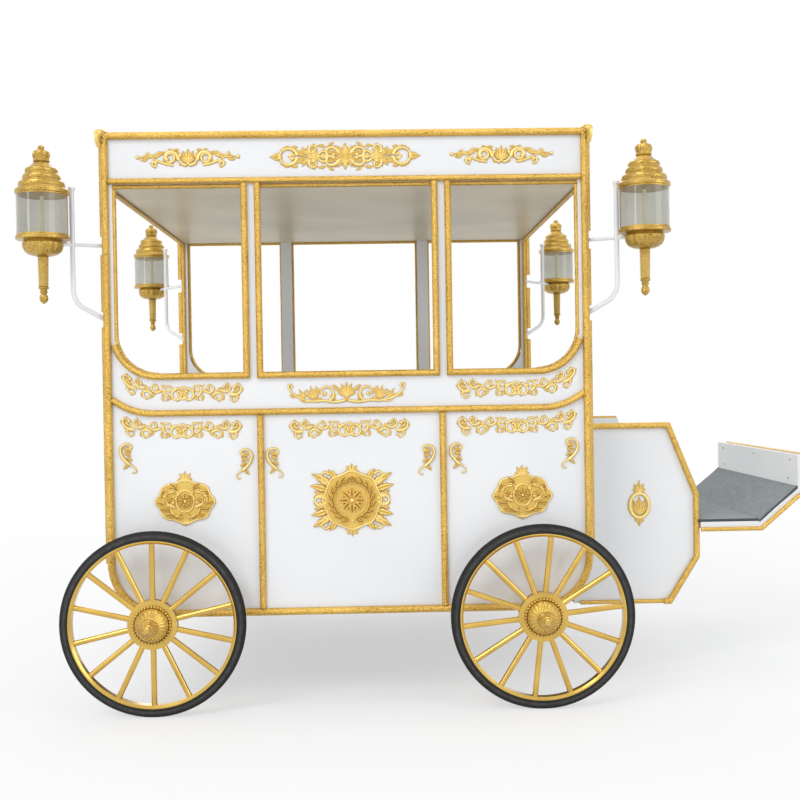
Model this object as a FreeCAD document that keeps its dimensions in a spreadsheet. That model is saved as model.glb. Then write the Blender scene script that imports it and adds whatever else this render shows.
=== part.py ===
"""Horse-drawn carriage with a flat-roofed panelled body, gold rope mouldings and a small driver's box.

Frame of the model: +X forward, +Y to the carriage's left, +Z up, the floor at Z = 0.
Every length is in millimetres.
"""
import FreeCAD
import Part
import Sketcher
import math
import os
from FreeCAD import Vector

document = FreeCAD.newDocument("Carriage")

# ---------------------------------------------------------------- driving dimensions
# alias, millimetres, what it is
SIZES = [
    ("body_length", 2040, "over the outer faces of the end walls"),
    ("body_width", 1904, "over the outer faces of the side panels"),
    ("body_bottom", 402, "underside of the side panels above the ground"),
    ("roof_top", 2433, "top of the fascia boards above the ground"),
    ("wall", 40, "thickness of the body walls"),
    ("corner_radius", 218, "rounding of the body's lower corners"),
    ("fascia_height", 195, "height of the fascia boards"),
    ("belt_height", 1256, "belt line above the ground, mid-length"),
    ("waist_height", 156, "window sill above the belt line"),
    ("belt_rise", 75, "rise of the belt line at the corner posts"),
    ("belt_curve", 190, "length over which the belt line rises"),
    ("ceiling_drop", 19, "underside of the ceiling below the fascia boards"),
    ("ceiling_board", 12, "thickness of the ceiling panel"),
    ("roof_board", 20, "thickness of the roof panel"),
    ("deck_board", 30, "thickness of the floor deck"),
    ("window_post", 57, "between the mouldings of neighbouring windows"),
    ("window_centre_half", 375, "half the width of the middle window, at its moulding"),
    ("window_margin", 29, "outer windows' outer edge inside the corner moulding's centre line"),
    ("window_radius", 185, "outer lower corners of the outer windows"),
    ("window_overrun", 6, "rounded corner's furthest point beyond the slim moulding"),
    ("window_lip", 3, "windows' edges inside their moulding's centre line"),
    ("rope", 28, "diameter of the windows', belt's and seams' mouldings"),
    ("frame_rope", 31, "diameter of the mouldings round each side"),
    ("end_rope", 34, "diameter of the mouldings round each end"),
    ("rail_rope", 25, "diameter of the mouldings along the foot of the fascia boards"),
    ("slim_rope", 19, "diameter of the slim mouldings"),
    ("rope_seat", 8, "moulding's centre line in front of the face that it is fixed to"),
    ("slim_rope_seat", 5, "the same of a slim moulding"),
    ("end_rope_seat", 10, "the same of an end's moulding"),
    ("head_rope_seat", 8.5, "slim moulding's centre line below the head that it hangs from"),
    ("rope_inset", 3, "moulding's centre line inside the edge of its panel"),
    ("rope_gap", 0.5, "clearance between two mouldings that meet"),
    ("seam_left", 378, "rear vertical seam of the lower side panel behind mid-length"),
    ("seam_right", 397, "front vertical seam of the lower side panel ahead of mid-length"),
    ("door_width", 620, "rear door"),
    ("door_bottom", 640, "underside of the rear door above the ground"),
    ("door_gap", 8, "clearance around the rear door"),
    ("door_rope_end", 28, "door and wall mouldings stop this far from the hinge gap"),
    ("hinge_pin", 10, "diameter of the door's hinge pins"),
    ("hinge_barrel", 20, "diameter of the door's hinge barrels"),
    ("hinge_barrel_length", 80, "length of a door hinge barrel"),
    ("hinge_standoff", 14, "hinge pin's axis behind the wall's outer face"),
    ("hinge_inset", 130, "hinge barrels' middle from the door's ends"),
    ("hinge_strap", 120, "length of the straps on the door"),
    ("hinge_leaf", 45, "length of the lugs on the wall"),
    ("hinge_knuckle", 20, "length of the fixed knuckles above and below a barrel"),
    ("hinge_gap", 2, "clearance between a barrel and its knuckles"),
    ("latch_inset", 60, "latch knob from the door's edge"),
    ("latch_drop", 150, "latch knob below the door's top"),
    ("latch_knob", 28, "diameter of the latch knob"),
    ("latch_reach", 34, "latch knob's end in front of the door"),
    ("latch_length", 124, "length of the latch bar"),
    ("latch_width", 24, "width of the latch bar"),
    ("latch_bar", 8, "thickness of the latch bar"),
    ("fit", 0.05, "radial running clearance"),
    ("wheel_radius", 385.7, "outside of the tyre"),
    ("wheel_offset", 118, "wheel's middle plane outboard of the side panel's face"),
    ("rear_axle_x", 824, "rear axle behind mid-length"),
    ("front_axle_x", 798, "front axle ahead of mid-length"),
    ("tyre_depth", 38, "radial thickness of the tyre"),
    ("tyre_width", 38, "width of the tyre"),
    ("rim_depth", 13, "radial thickness of the rim"),
    ("rim_width", 45, "width of the rim"),
    ("spokes", 14, "number of spokes in a wheel"),
    ("spoke", 24, "diameter of a spoke"),
    ("spoke_root", 4, "depth of a spoke's root in the nave"),
    ("nave_radius", 52, "wheel nave"),
    ("nave_inner", 40, "nave inboard of the wheel's middle plane"),
    ("nave_gap", 5, "clearance between the nave and the plate behind it"),
    ("hub_plate_radius", 102.5, "clamping plates on both sides of the spokes"),
    ("hub_plate", 9, "thickness of a clamping plate"),
    ("hub_ring_radius", 80, "beaded ring on the outer plate"),
    ("hub_dome_radius", 71, "domed hub cap"),
    ("hub_cap", 125, "hub cap's tip in front of the outer plate"),
    ("hub_nose_radius", 28, "root of the hub cap's long nose"),
    ("rear_spoke_turn", 12.857, "degrees from the horizontal to a rear spoke"),
    ("front_spoke_turn", 6.3, "degrees from the horizontal to a front spoke"),
    ("spindle", 30, "diameter of the wheel spindles"),
    ("spindle_reach", 42, "spindle's end outboard of the wheel's middle plane"),
    ("rail_height", 40, "height of the chassis rails"),
    ("rail_width", 60, "width of the chassis rails"),
    ("rail_spacing", 900, "between the middles of the chassis rails"),
    ("rail_rear", 880, "rear end of the rails behind mid-length"),
    ("rail_front", 1420, "front end of the rails ahead of mid-length"),
    ("outrigger_inset", 160, "cross members' ends over the axles inside the side face"),
    ("beam", 50, "axle beam, square"),
    ("knuckle_plate", 22, "thickness of the plates at the ends of the beams"),
    ("knuckle_width", 80, "width of those plates"),
    ("knuckle_top", 425, "top of those plates above the ground"),
    ("turn_plate", 10, "thickness of each turntable plate"),
    ("turn_gap", 1, "clearance between the turntable plates"),
    ("turn_radius", 190, "turntable plates"),
    ("king_pin", 30, "diameter of the king pin"),
    ("pole_arm", 30, "pole arms, square"),
    ("pole_arm_spacing", 110, "between the middles of the pole arms"),
    ("pole_eye_x", 1440, "pole pin hole ahead of mid-length"),
    ("pole_tie", 220, "tie between the pole arms behind the pole pin hole"),
    ("pole_pin", 20, "diameter of the hole for the pole pin"),
    ("box_width", 1125, "driver's box over its side panels"),
    ("foot_overhang", 30, "footboard and dash panel beyond each side of the driver's box"),
    ("box_panel", 40, "thickness of the driver's box panels"),
    ("box_top", 1159, "top edge of the driver's box"),
    ("box_top_length", 446, "top edge ahead of the body's end"),
    ("box_length", 576, "driver's box ahead of the body's end"),
    ("box_shoulder", 833, "upper corner of the driver's box front"),
    ("box_knee", 544, "lower corner of the driver's box front"),
    ("box_bottom", 336, "lower edge of the driver's box"),
    ("box_board", 26, "thickness of the driver's box front and bottom boards"),
    ("seat_drop", 60, "seat board below the box's top edge"),
    ("seat_board", 25, "thickness of the seat board"),
    ("foot_level", 706, "top of the footboard under its carpet"),
    ("foot_flat", 861, "end of the level footboard ahead of the body's end"),
    ("foot_reach", 1041, "end of the sloped footboard ahead of the body's end"),
    ("foot_rise", 146, "rise of the sloped footboard"),
    ("foot_board", 30, "thickness of the footboard"),
    ("carpet", 10, "thickness of the footboard's carpet"),
    ("carpet_inset", 5, "carpet inside the footboard's side edges"),
    ("dash_height", 156, "dash panel above the end of the footboard"),
    ("dash", 42, "thickness of the dash panel"),
    ("dash_rope_rise", 6, "dash moulding above the top of the dash panel"),
    ("foot_rope_drop", 4, "footboard's moulding below the board's underside"),
    ("lantern_x", 1236, "lantern's axis from mid-length"),
    ("lantern_y", 155, "lantern's axis outboard of the side panel's face"),
    ("lantern_tip", 1714, "lantern's lower tip above the ground"),
    ("lantern_height", 649, "lantern from its lower tip to its crown"),
    ("lantern_brim", 107, "radius of the lantern's two brims"),
    ("lantern_rod", 14, "diameter of the rod in the middle of the lantern"),
    ("glass_inset", 5, "glass's outer face inside the edges of the brims"),
    ("glass_wall", 3, "thickness of the lantern's glass"),
    ("bracket_tube", 21, "diameter of the lantern brackets' bent tubes"),
    ("arm_tube", 16, "diameter of the lantern brackets' arms"),
    ("bracket_reach", 128, "upright tube inboard of the lantern's axis"),
    ("bracket_seat", 26, "brackets' ends on the corner inside the side face"),
    ("bracket_bend", 80, "radius of the bend below the upright tube"),
    ("bracket_top_rise", 478, "top of the upright tube above the lantern's lower tip"),
    ("bracket_arm_rise", 250, "arm's end at the bowl above the lantern's lower tip"),
    ("bracket_arm_slope", 7, "arm's end at the corner above its end at the bowl"),
    ("bracket_bend_rise", 61, "start of the bend above the lantern's lower tip"),
    ("bracket_foot_drop", 62, "foot of the lower stay below the lantern's lower tip"),
    ("arm_gap", 78, "opening in the end moulding round an arm's end"),
    ("stay_gap", 66, "opening in the end moulding round a stay's end"),
    ("stay_gap_rise", 6, "middle of that opening above the stay's end"),
    ("seat_gap", 0.3, "clearance where a round piece rests against another"),
]

sheet = document.addObject("Spreadsheet::Sheet", "Sizes")
for row, (alias, millimetres, meaning) in enumerate(SIZES, start=1):
    sheet.set(f"A{row}", str(millimetres))
    sheet.setAlias(f"A{row}", alias)
    sheet.set(f"B{row}", meaning)
document.recompute()


class Size:
    """A length with its formula in the sheet, so that one line gives both a shape and its binding."""

    def __init__(self, formula, value):
        self.formula = formula
        self.value = value

    def joined(self, sign, other, value):
        return Size(f"({self.formula} {sign} {as_size(other).formula})", value)

    def __add__(self, other):
        return self.joined("+", other, self.value + as_size(other).value)

    def __radd__(self, other):
        return as_size(other) + self

    def __sub__(self, other):
        return self.joined("-", other, self.value - as_size(other).value)

    def __rsub__(self, other):
        return as_size(other) - self

    def __mul__(self, other):
        return self.joined("*", other, self.value * as_size(other).value)

    def __rmul__(self, other):
        return as_size(other) * self

    def __truediv__(self, other):
        return self.joined("/", other, self.value / as_size(other).value)

    def __neg__(self):
        return self * -1

    def root(self):
        return Size(f"sqrt({self.formula})", math.sqrt(self.value))

    def __float__(self):
        return self.value


def as_size(value):
    """A plain number as a Size; a Size stays what it is."""
    if isinstance(value, Size):
        return value
    return Size(repr(float(value)), float(value))


class Sheet:
    """The driving dimensions by their names."""


S = Sheet()
for alias, _, _ in SIZES:
    setattr(S, alias, Size(f"Sizes.{alias}", float(sheet.get(alias))))

# ---------------------------------------------------------------- places worked out from them
half_length = S.body_length / 2
half_width = S.body_width / 2
side_rope_y = half_width + S.rope_seat
reveal_rope_y = half_width - S.slim_rope / 2 - S.rope_gap
side_rope_x = half_length - S.rope_inset
end_rope_x = half_length + S.end_rope_seat
corner_ropes_apart = (S.frame_rope + S.end_rope) / 2 + S.rope_gap
corner_ropes_along = end_rope_x - side_rope_x
end_rope_y = side_rope_y - (
    corner_ropes_apart * corner_ropes_apart - corner_ropes_along * corner_ropes_along).root()
bracket_arm_z = S.lantern_tip + S.bracket_arm_rise
arm_end_z = bracket_arm_z + S.bracket_arm_slope
bracket_foot_z = S.lantern_tip - S.bracket_foot_drop
post_edge = side_rope_x - S.frame_rope / 2 - S.rope_gap
top_rope_z = S.roof_top - S.rope_inset
bottom_rope_z = S.body_bottom + S.rope_inset
fascia_bottom = S.roof_top - S.fascia_height
ceiling_height = fascia_bottom - S.ceiling_drop
sill_height = S.belt_height + S.waist_height
wheel_y = half_width + S.wheel_offset
lantern_y = half_width + S.lantern_y
rail_y = S.rail_spacing / 2
rail_low = S.body_bottom - S.rail_height
front_beam_top = rail_low - S.turn_plate * 2 - S.turn_gap
end_sill_rope_z = sill_height - S.rope / 2
window_head = fascia_bottom - S.rail_rope / 2
upright_top = window_head - S.rope_gap
window_outer = side_rope_x - S.window_margin
window_turn_x = window_outer + S.window_overrun - S.window_radius
window_inner = S.window_centre_half + S.window_post
box_front_x = half_length + S.box_length
foot_width = S.box_width + S.foot_overhang * 2
foot_turn_x = half_length + S.foot_flat
foot_end_x = half_length + S.foot_reach
foot_wide_x = box_front_x - S.rope_inset + S.rope / 2 + S.rope_gap
dash_top_x = foot_end_x + S.dash
front_reach = dash_top_x + S.rope_seat + S.rope / 2
rear_reach = S.lantern_x + S.lantern_brim
body_x = (rear_reach - front_reach) / 2

REAR, FRONT = -1, 1
RIGHT, LEFT = -1, 1
ENDS = {"rear": REAR, "front": FRONT}
SIDES = {"left": LEFT, "right": RIGHT}

sub_parts = []


def bind(item, name, size):
    """Tie one property to its formula in the sheet."""
    item.setExpression(name, as_size(size).formula)


def place(item, x=0.0, y=0.0, z=0.0):
    """Set where an object stands, tied to the sheet."""
    item.Placement.Base = Vector(float(x), float(y), float(z))
    bind(item, "Placement.Base.x", x)
    bind(item, "Placement.Base.y", y)
    bind(item, "Placement.Base.z", z)


def sub_part(label, item, x=0.0, y=0.0, z=0.0):
    """Name a finished sub-part, and place it from the carriage's mid-length into the model's frame."""
    item.Label = label
    place(item, body_x + x, y, z)
    sub_parts.append(item)
    return item


def box(name, x, y, z):
    """A box from its low and high faces along each axis."""
    item = document.addObject("Part::Box", name)
    bind(item, "Length", x[1] - x[0])
    bind(item, "Width", y[1] - y[0])
    bind(item, "Height", z[1] - z[0])
    place(item, x[0], y[0], z[0])
    return item


def cylinder(name, radius, length, x, y, z, axis=Vector(0, 0, 1)):
    """A round bar from its start point along an axis."""
    item = document.addObject("Part::Cylinder", name)
    bind(item, "Radius", radius)
    bind(item, "Height", length)
    item.Placement.Rotation = FreeCAD.Rotation(Vector(0, 0, 1), axis)
    place(item, x, y, z)
    return item


def fuse(name, items):
    """Several solids welded into one."""
    item = document.addObject("Part::MultiFuse", name)
    item.Shapes = items
    item.Refine = True
    return item


def cut(name, base, tool):
    """One solid taken out of another."""
    item = document.addObject("Part::Cut", name)
    item.Base = base
    item.Tool = tool
    item.Refine = True
    return item


def group(name, items):
    """Solids that don't touch, kept as one piece."""
    item = document.addObject("Part::Compound", name)
    item.Links = items
    return item


def feature(name, shape):
    """A shape that FreeCAD's own features don't make."""
    item = document.addObject("Part::Feature", name)
    item.Shape = shape
    return item


# ---------------------------------------------------------------- sketches and bodies
def plane_of(body, role):
    """One of a body's own origin planes."""
    return next(plane for plane in body.Origin.OriginFeatures if plane.Role == role)


def outline(body, name, role, points, arcs=()):
    """A closed sketch through points, tied to the sheet.

    arcs holds (index of the point that the arc starts from, its radius, its centre's two values).
    """
    sketch = body.newObject("Sketcher::SketchObject", name)
    sketch.AttachmentSupport = [(plane_of(body, role), "")]
    sketch.MapMode = "FlatFace"
    bent = {start: (radius, centre) for start, radius, centre in arcs}
    spots = [Vector(float(u), float(v), 0) for u, v in points]
    count = len(points)
    ends = []
    for index, spot in enumerate(spots):
        after = spots[(index + 1) % count]
        if index in bent:
            radius, centre = bent[index]
            middle = Vector(float(centre[0]), float(centre[1]), 0)
            start_angle = math.atan2(spot.y - middle.y, spot.x - middle.x)
            end_angle = math.atan2(after.y - middle.y, after.x - middle.x)
            turn = (end_angle - start_angle) % (2 * math.pi)
            circle = Part.Circle(middle, Vector(0, 0, 1), float(radius))
            if turn < math.pi:
                edge = sketch.addGeometry(Part.ArcOfCircle(circle, start_angle, start_angle + turn), False)
                ends.append((edge, 1, 2))
            else:
                back = 2 * math.pi - turn
                edge = sketch.addGeometry(Part.ArcOfCircle(circle, end_angle, end_angle + back), False)
                ends.append((edge, 2, 1))
        else:
            edge = sketch.addGeometry(Part.LineSegment(spot, after), False)
            ends.append((edge, 1, 2))
    for index in range(count):
        here = ends[index]
        following = ends[(index + 1) % count]
        sketch.addConstraint(Sketcher.Constraint("Coincident", here[0], here[2], following[0], following[1]))
    for index, (u, v) in enumerate(points):
        edge, start, _ = ends[index]
        for kind, size in (("DistanceX", u), ("DistanceY", v)):
            number = sketch.addConstraint(Sketcher.Constraint(kind, -1, 1, edge, start, float(size)))
            label = f"{kind}{index}"
            sketch.renameConstraint(number, label)
            sketch.setExpression(f"Constraints.{label}", as_size(size).formula)
    for index, (radius, _) in bent.items():
        number = sketch.addConstraint(Sketcher.Constraint("Radius", ends[index][0], float(radius)))
        sketch.renameConstraint(number, f"Radius{index}")
        sketch.setExpression(f"Constraints.Radius{index}", as_size(radius).formula)
    return sketch


def pad(body, sketch, length, both=False):
    """Extrude a sketch, along its normal or to both sides of it."""
    item = body.newObject("PartDesign::Pad", "Pad")
    item.Profile = sketch
    bind(item, "Length", length)
    item.Midplane = both
    sketch.Visibility = False
    return item


def revolved(name, profile, role="XZ_Plane"):
    """A turned body about its own vertical axis, from (radius, height) points."""
    body = document.addObject("PartDesign::Body", name)
    sketch = outline(body, name + "_profile", role, profile)
    item = body.newObject("PartDesign::Revolution", "Turned")
    item.Profile = sketch
    item.ReferenceAxis = (sketch, ["V_Axis"])
    item.Angle = 360
    document.recompute()
    return body


# ---------------------------------------------------------------- chassis and axles
def chassis_frame():
    """Two rails under the floor, cross members, the front bolster with its king pin."""
    top = S.body_bottom
    low = rail_low
    pieces = []
    for side in (LEFT, RIGHT):
        middle = rail_y * side
        pieces.append(box(
            "rail",
            (-S.rail_rear, S.rail_front),
            (middle - S.rail_width / 2, middle + S.rail_width / 2),
            (low, top),
        ))
    outriggers = half_width - S.outrigger_inset
    crossings = (
        ("rear", -S.rear_axle_x, outriggers),
        ("middle", 0.0, rail_y),
        ("front", S.front_axle_x, outriggers),
    )
    for name, middle, reach in crossings:
        pieces.append(box(
            f"cross_member_{name}",
            (middle - S.rail_width / 2, middle + S.rail_width / 2),
            (-reach, reach),
            (low, top),
        ))
    for name, middle in (("tail", -S.rail_rear), ("nose", S.rail_front - S.rail_width)):
        pieces.append(box(
            f"cross_member_{name}",
            (middle, middle + S.rail_width),
            (-rail_y, rail_y),
            (low, top),
        ))
    pieces.append(cylinder("upper_turn_plate", S.turn_radius, S.turn_plate, S.front_axle_x, 0.0, low - S.turn_plate))
    pin_length = S.turn_plate * 2 + S.turn_gap + S.beam
    pieces.append(cylinder("king_pin", S.king_pin / 2, pin_length, S.front_axle_x, 0.0, low - pin_length))
    return sub_part("chassis_frame", fuse("ChassisFrame", pieces))


def axle(name, axle_x, beam_top):
    """A beam under the rails with upright end plates that carry the spindles outside the body."""
    inner = wheel_y - S.nave_inner - S.knuckle_plate - S.nave_gap
    pieces = [box(
        f"{name}_beam",
        (axle_x - S.beam / 2, axle_x + S.beam / 2),
        (-(inner + S.knuckle_plate), inner + S.knuckle_plate),
        (beam_top - S.beam, beam_top),
    )]
    for side in (LEFT, RIGHT):
        near = inner * side
        far = (inner + S.knuckle_plate) * side
        low_y, high_y = (near, far) if side == LEFT else (far, near)
        pieces.append(box(
            f"{name}_plate",
            (axle_x - S.knuckle_width / 2, axle_x + S.knuckle_width / 2),
            (low_y, high_y),
            (beam_top - S.beam, S.knuckle_top),
        ))
        pieces.append(cylinder(
            f"{name}_spindle",
            S.spindle / 2,
            wheel_y + S.spindle_reach - inner,
            axle_x,
            inner * side,
            S.wheel_radius,
            Vector(0, side, 0),
        ))
    return pieces


def rear_axle():
    return sub_part("rear_axle", fuse("RearAxle", axle("rear", -S.rear_axle_x, rail_low)))


def front_axle():
    """The turning fore-carriage's beam with the lower turntable plate."""
    pieces = axle("front", S.front_axle_x, front_beam_top)
    pieces.append(cylinder(
        "lower_turn_plate", S.turn_radius, S.turn_plate, S.front_axle_x, 0.0, front_beam_top))
    king_bore = cylinder(
        "king_bore", S.king_pin / 2 + S.fit, S.beam * 3, S.front_axle_x, 0.0, front_beam_top - S.beam * 2)
    return sub_part("front_axle", cut("FrontAxle", fuse("FrontAxleWelded", pieces), king_bore))


def pole_fork():
    """Two arms in front of the turning beam, tied together, with the eyes for the pole pin."""
    low = front_beam_top - S.beam
    pieces = []
    for side in (LEFT, RIGHT):
        middle = S.pole_arm_spacing / 2 * side
        pieces.append(box(
            "pole_arm",
            (S.front_axle_x + S.beam / 2, S.pole_eye_x + S.pole_arm),
            (middle - S.pole_arm / 2, middle + S.pole_arm / 2),
            (low, low + S.pole_arm),
        ))
    pieces.append(box(
        "pole_arm_tie",
        (S.pole_eye_x - S.pole_tie - S.pole_arm, S.pole_eye_x - S.pole_tie),
        (-S.pole_arm_spacing / 2, S.pole_arm_spacing / 2),
        (low, low + S.pole_arm),
    ))
    pole_bore = cylinder(
        "pole_bore",
        S.pole_pin / 2,
        S.pole_arm_spacing * 2,
        S.pole_eye_x,
        -S.pole_arm_spacing,
        low + S.pole_arm / 2,
        Vector(0, 1, 0),
    )
    return sub_part("pole_fork", cut("PoleFork", fuse("PoleForkWelded", pieces), pole_bore))


# ---------------------------------------------------------------- wheels
def tyre(label, x, side):
    """A rubber tyre, turned about the wheel's axis."""
    outer = S.wheel_radius
    inner = outer - S.tyre_depth
    half = S.tyre_width / 2
    shoulder = S.tyre_depth * 0.45
    body = revolved(label + "_body", [
        (inner, -half),
        (outer - shoulder, -half),
        (outer - shoulder * 0.3, -half * 0.75),
        (outer, -half * 0.35),
        (outer, half * 0.35),
        (outer - shoulder * 0.3, half * 0.75),
        (outer - shoulder, half),
        (inner, half),
    ])
    body.Placement.Rotation = FreeCAD.Rotation(Vector(0, 0, 1), Vector(0, side, 0))
    return sub_part(label, body, x, wheel_y * side, S.wheel_radius)


def wheel(label, x, side, spoke_turn):
    """Rim, fourteen round spokes, clamping plates and a domed hub cap, turned and patterned."""
    rim_outer = S.wheel_radius - S.tyre_depth
    rim_inner = rim_outer - S.rim_depth
    plate_out = S.spoke / 2 + S.hub_plate
    plate_in = S.spoke * 0.3
    bore = S.spindle / 2 + S.fit
    bore_end = S.spindle_reach + 3
    ring = S.hub_ring_radius
    dome = S.hub_dome_radius
    nose = S.hub_nose_radius
    cap = S.hub_cap
    body = document.addObject("PartDesign::Body", label + "_body")
    hub = outline(body, "Hub", "XZ_Plane", [
        (bore, -S.nave_inner),
        (S.nave_radius, -S.nave_inner),
        (S.nave_radius, -plate_out),
        (S.hub_plate_radius, -plate_out),
        (S.hub_plate_radius, -plate_in),
        (S.nave_radius, -plate_in),
        (S.nave_radius, plate_in),
        (S.hub_plate_radius, plate_in),
        (S.hub_plate_radius, plate_out),
        (ring, plate_out),
        (ring, plate_out + cap * 0.05),
        (dome, plate_out + cap * 0.05),
        (dome, plate_out + cap * 0.08),
        (dome * 0.95, plate_out + cap * 0.15),
        (dome * 0.80, plate_out + cap * 0.25),
        (dome * 0.60, plate_out + cap * 0.32),
        (nose * 1.20, plate_out + cap * 0.37),
        (nose, plate_out + cap * 0.42),
        (nose, plate_out + cap * 0.52),
        (nose * 0.82, plate_out + cap * 0.60),
        (nose * 0.75, plate_out + cap * 0.76),
        (nose * 0.60, plate_out + cap * 0.80),
        (nose * 0.60, plate_out + cap * 0.92),
        (nose * 0.36, plate_out + cap * 0.99),
        (0.0, plate_out + cap),
        (0.0, bore_end),
        (bore, bore_end),
    ])
    turned = body.newObject("PartDesign::Revolution", "HubTurned")
    turned.Profile = hub
    turned.ReferenceAxis = (hub, ["V_Axis"])
    turned.Angle = 360
    document.recompute()
    spoke_sketch = body.newObject("Sketcher::SketchObject", "SpokeRound")
    spoke_sketch.AttachmentSupport = [(plane_of(body, "YZ_Plane"), "")]
    spoke_sketch.MapMode = "FlatFace"
    root = S.nave_radius - S.spoke_root
    spoke_sketch.AttachmentOffset.Base = Vector(0, 0, float(root))
    bind(spoke_sketch, "AttachmentOffset.Base.z", root)
    spoke_sketch.addGeometry(Part.Circle(Vector(0, 0, 0), Vector(0, 0, 1), float(S.spoke / 2)), False)
    spoke_sketch.addConstraint(Sketcher.Constraint("Coincident", 0, 3, -1, 1))
    number = spoke_sketch.addConstraint(Sketcher.Constraint("Radius", 0, float(S.spoke / 2)))
    spoke_sketch.renameConstraint(number, "Radius")
    spoke_sketch.setExpression("Constraints.Radius", (S.spoke / 2).formula)
    spoke = pad(body, spoke_sketch, rim_inner + S.rim_depth * 0.2 - root)
    document.recompute()
    pattern = body.newObject("PartDesign::PolarPattern", "Spokes")
    pattern.Originals = [spoke]
    pattern.Axis = (hub, ["V_Axis"])
    pattern.Angle = 360
    bind(pattern, "Occurrences", S.spokes)
    body.Tip = pattern
    document.recompute()
    edge = rim_outer - S.rim_depth * 0.4
    rim = outline(body, "Rim", "XZ_Plane", [
        (rim_inner, -S.rim_width * 0.34),
        (edge, -S.rim_width / 2),
        (rim_outer, -S.rim_width / 2),
        (rim_outer, S.rim_width / 2),
        (edge, S.rim_width / 2),
        (rim_inner, S.rim_width * 0.34),
    ])
    rim_turned = body.newObject("PartDesign::Revolution", "RimTurned")
    rim_turned.Profile = rim
    rim_turned.ReferenceAxis = (rim, ["V_Axis"])
    rim_turned.Angle = 360
    body.Tip = rim_turned
    document.recompute()
    upright = FreeCAD.Rotation(Vector(0, 0, 1), Vector(0, side, 0))
    body.Placement.Rotation = upright * FreeCAD.Rotation(Vector(0, 0, 1), float(spoke_turn))
    return sub_part(label, body, x, wheel_y * side, S.wheel_radius)


# ---------------------------------------------------------------- body panels
def belt_arc_radius():
    """Radius of the belt line's rise, from its length and height."""
    return (S.belt_curve * S.belt_curve + S.belt_rise * S.belt_rise) / (S.belt_rise * 2)


def panel_body(name, points, arcs, thickness):
    """A flat panel in the plane of a side wall."""
    body = document.addObject("PartDesign::Body", name)
    sketch = outline(body, name + "_outline", "XZ_Plane", points, arcs)
    pad(body, sketch, thickness)
    document.recompute()
    return body


def side_lower(side_name, side):
    """Lower side panel: rounded lower corners, top edge along the belt line."""
    low = S.body_bottom
    radius = S.corner_radius
    rise_x = side_rope_x - S.belt_curve
    arc = belt_arc_radius()
    edge_rise = S.belt_height + S.belt_rise
    points = [
        (-(half_length - radius), low),
        (half_length - radius, low),
        (half_length, low + radius),
        (half_length, edge_rise),
        (side_rope_x, edge_rise),
        (rise_x, S.belt_height),
        (-rise_x, S.belt_height),
        (-side_rope_x, edge_rise),
        (-half_length, edge_rise),
        (-half_length, low + radius),
    ]
    arcs = [
        (1, radius, (half_length - radius, low + radius)),
        (4, arc, (rise_x, S.belt_height + arc)),
        (6, arc, (-rise_x, S.belt_height + arc)),
        (9, radius, (-(half_length - radius), low + radius)),
    ]
    body = panel_body(f"SideLower_{side_name}", points, arcs, S.wall)
    y = half_width if side == LEFT else -(half_width - S.wall)
    return sub_part(f"side_lower_{side_name}", body, 0.0, y, 0.0)


def side_frame(side_name, side):
    """Waist and window posts in one panel, with its three windows cut."""
    rise_x = side_rope_x - S.belt_curve
    arc = belt_arc_radius()
    edge_rise = S.belt_height + S.belt_rise
    top = fascia_bottom
    body = document.addObject("PartDesign::Body", f"SideFrame_{side_name}")
    points = [
        (-rise_x, S.belt_height),
        (rise_x, S.belt_height),
        (side_rope_x, edge_rise),
        (half_length, edge_rise),
        (half_length, top),
        (-half_length, top),
        (-half_length, edge_rise),
        (-side_rope_x, edge_rise),
    ]
    arcs = [
        (1, arc, (rise_x, S.belt_height + arc)),
        (7, arc, (-rise_x, S.belt_height + arc)),
    ]
    sketch = outline(body, "FrameOutline", "XZ_Plane", points, arcs)
    pad(body, sketch, S.wall)
    document.recompute()
    lip = S.window_lip
    head = window_head
    foot = sill_height + lip
    half = S.window_centre_half - lip
    inner = window_inner + lip
    outer = window_outer
    turn = window_turn_x
    radius = S.window_radius - lip
    turn_z = sill_height + S.window_radius
    bend_end = turn_z - (radius * radius - (outer - turn) * (outer - turn)).root()
    windows = {
        "Middle": ([(-half, foot), (half, foot), (half, head), (-half, head)], ()),
        "Front": (
            [(inner, foot), (turn, foot), (outer, bend_end), (outer, head), (inner, head)],
            [(1, radius, (turn, turn_z))],
        ),
        "Rear": (
            [(-inner, foot), (-inner, head), (-outer, head), (-outer, bend_end), (-turn, foot)],
            [(3, radius, (-turn, turn_z))],
        ),
    }
    for name, (corners, bends) in windows.items():
        opening = outline(body, f"Window{name}", "XZ_Plane", corners, bends)
        pocket = body.newObject("PartDesign::Pocket", f"Cut{name}")
        pocket.Profile = opening
        pocket.Type = "ThroughAll"
        pocket.Midplane = True
        document.recompute()
    y = half_width if side == LEFT else -(half_width - S.wall)
    return sub_part(f"side_frame_{side_name}", body, 0.0, y, 0.0)


def end_profile_points(low, top):
    """Section of an end wall: upright, then rolled under at the bottom."""
    radius = S.corner_radius
    inner_radius = radius - S.wall
    centre = (half_length - radius, S.body_bottom + radius)
    points = [
        (half_length - radius, low),
        (half_length, low + radius),
        (half_length, top),
        (half_length - S.wall, top),
        (half_length - S.wall, low + radius),
        (half_length - radius, low + S.wall),
    ]
    arcs = [(0, radius, centre), (4, inner_radius, centre)]
    return points, arcs


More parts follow.
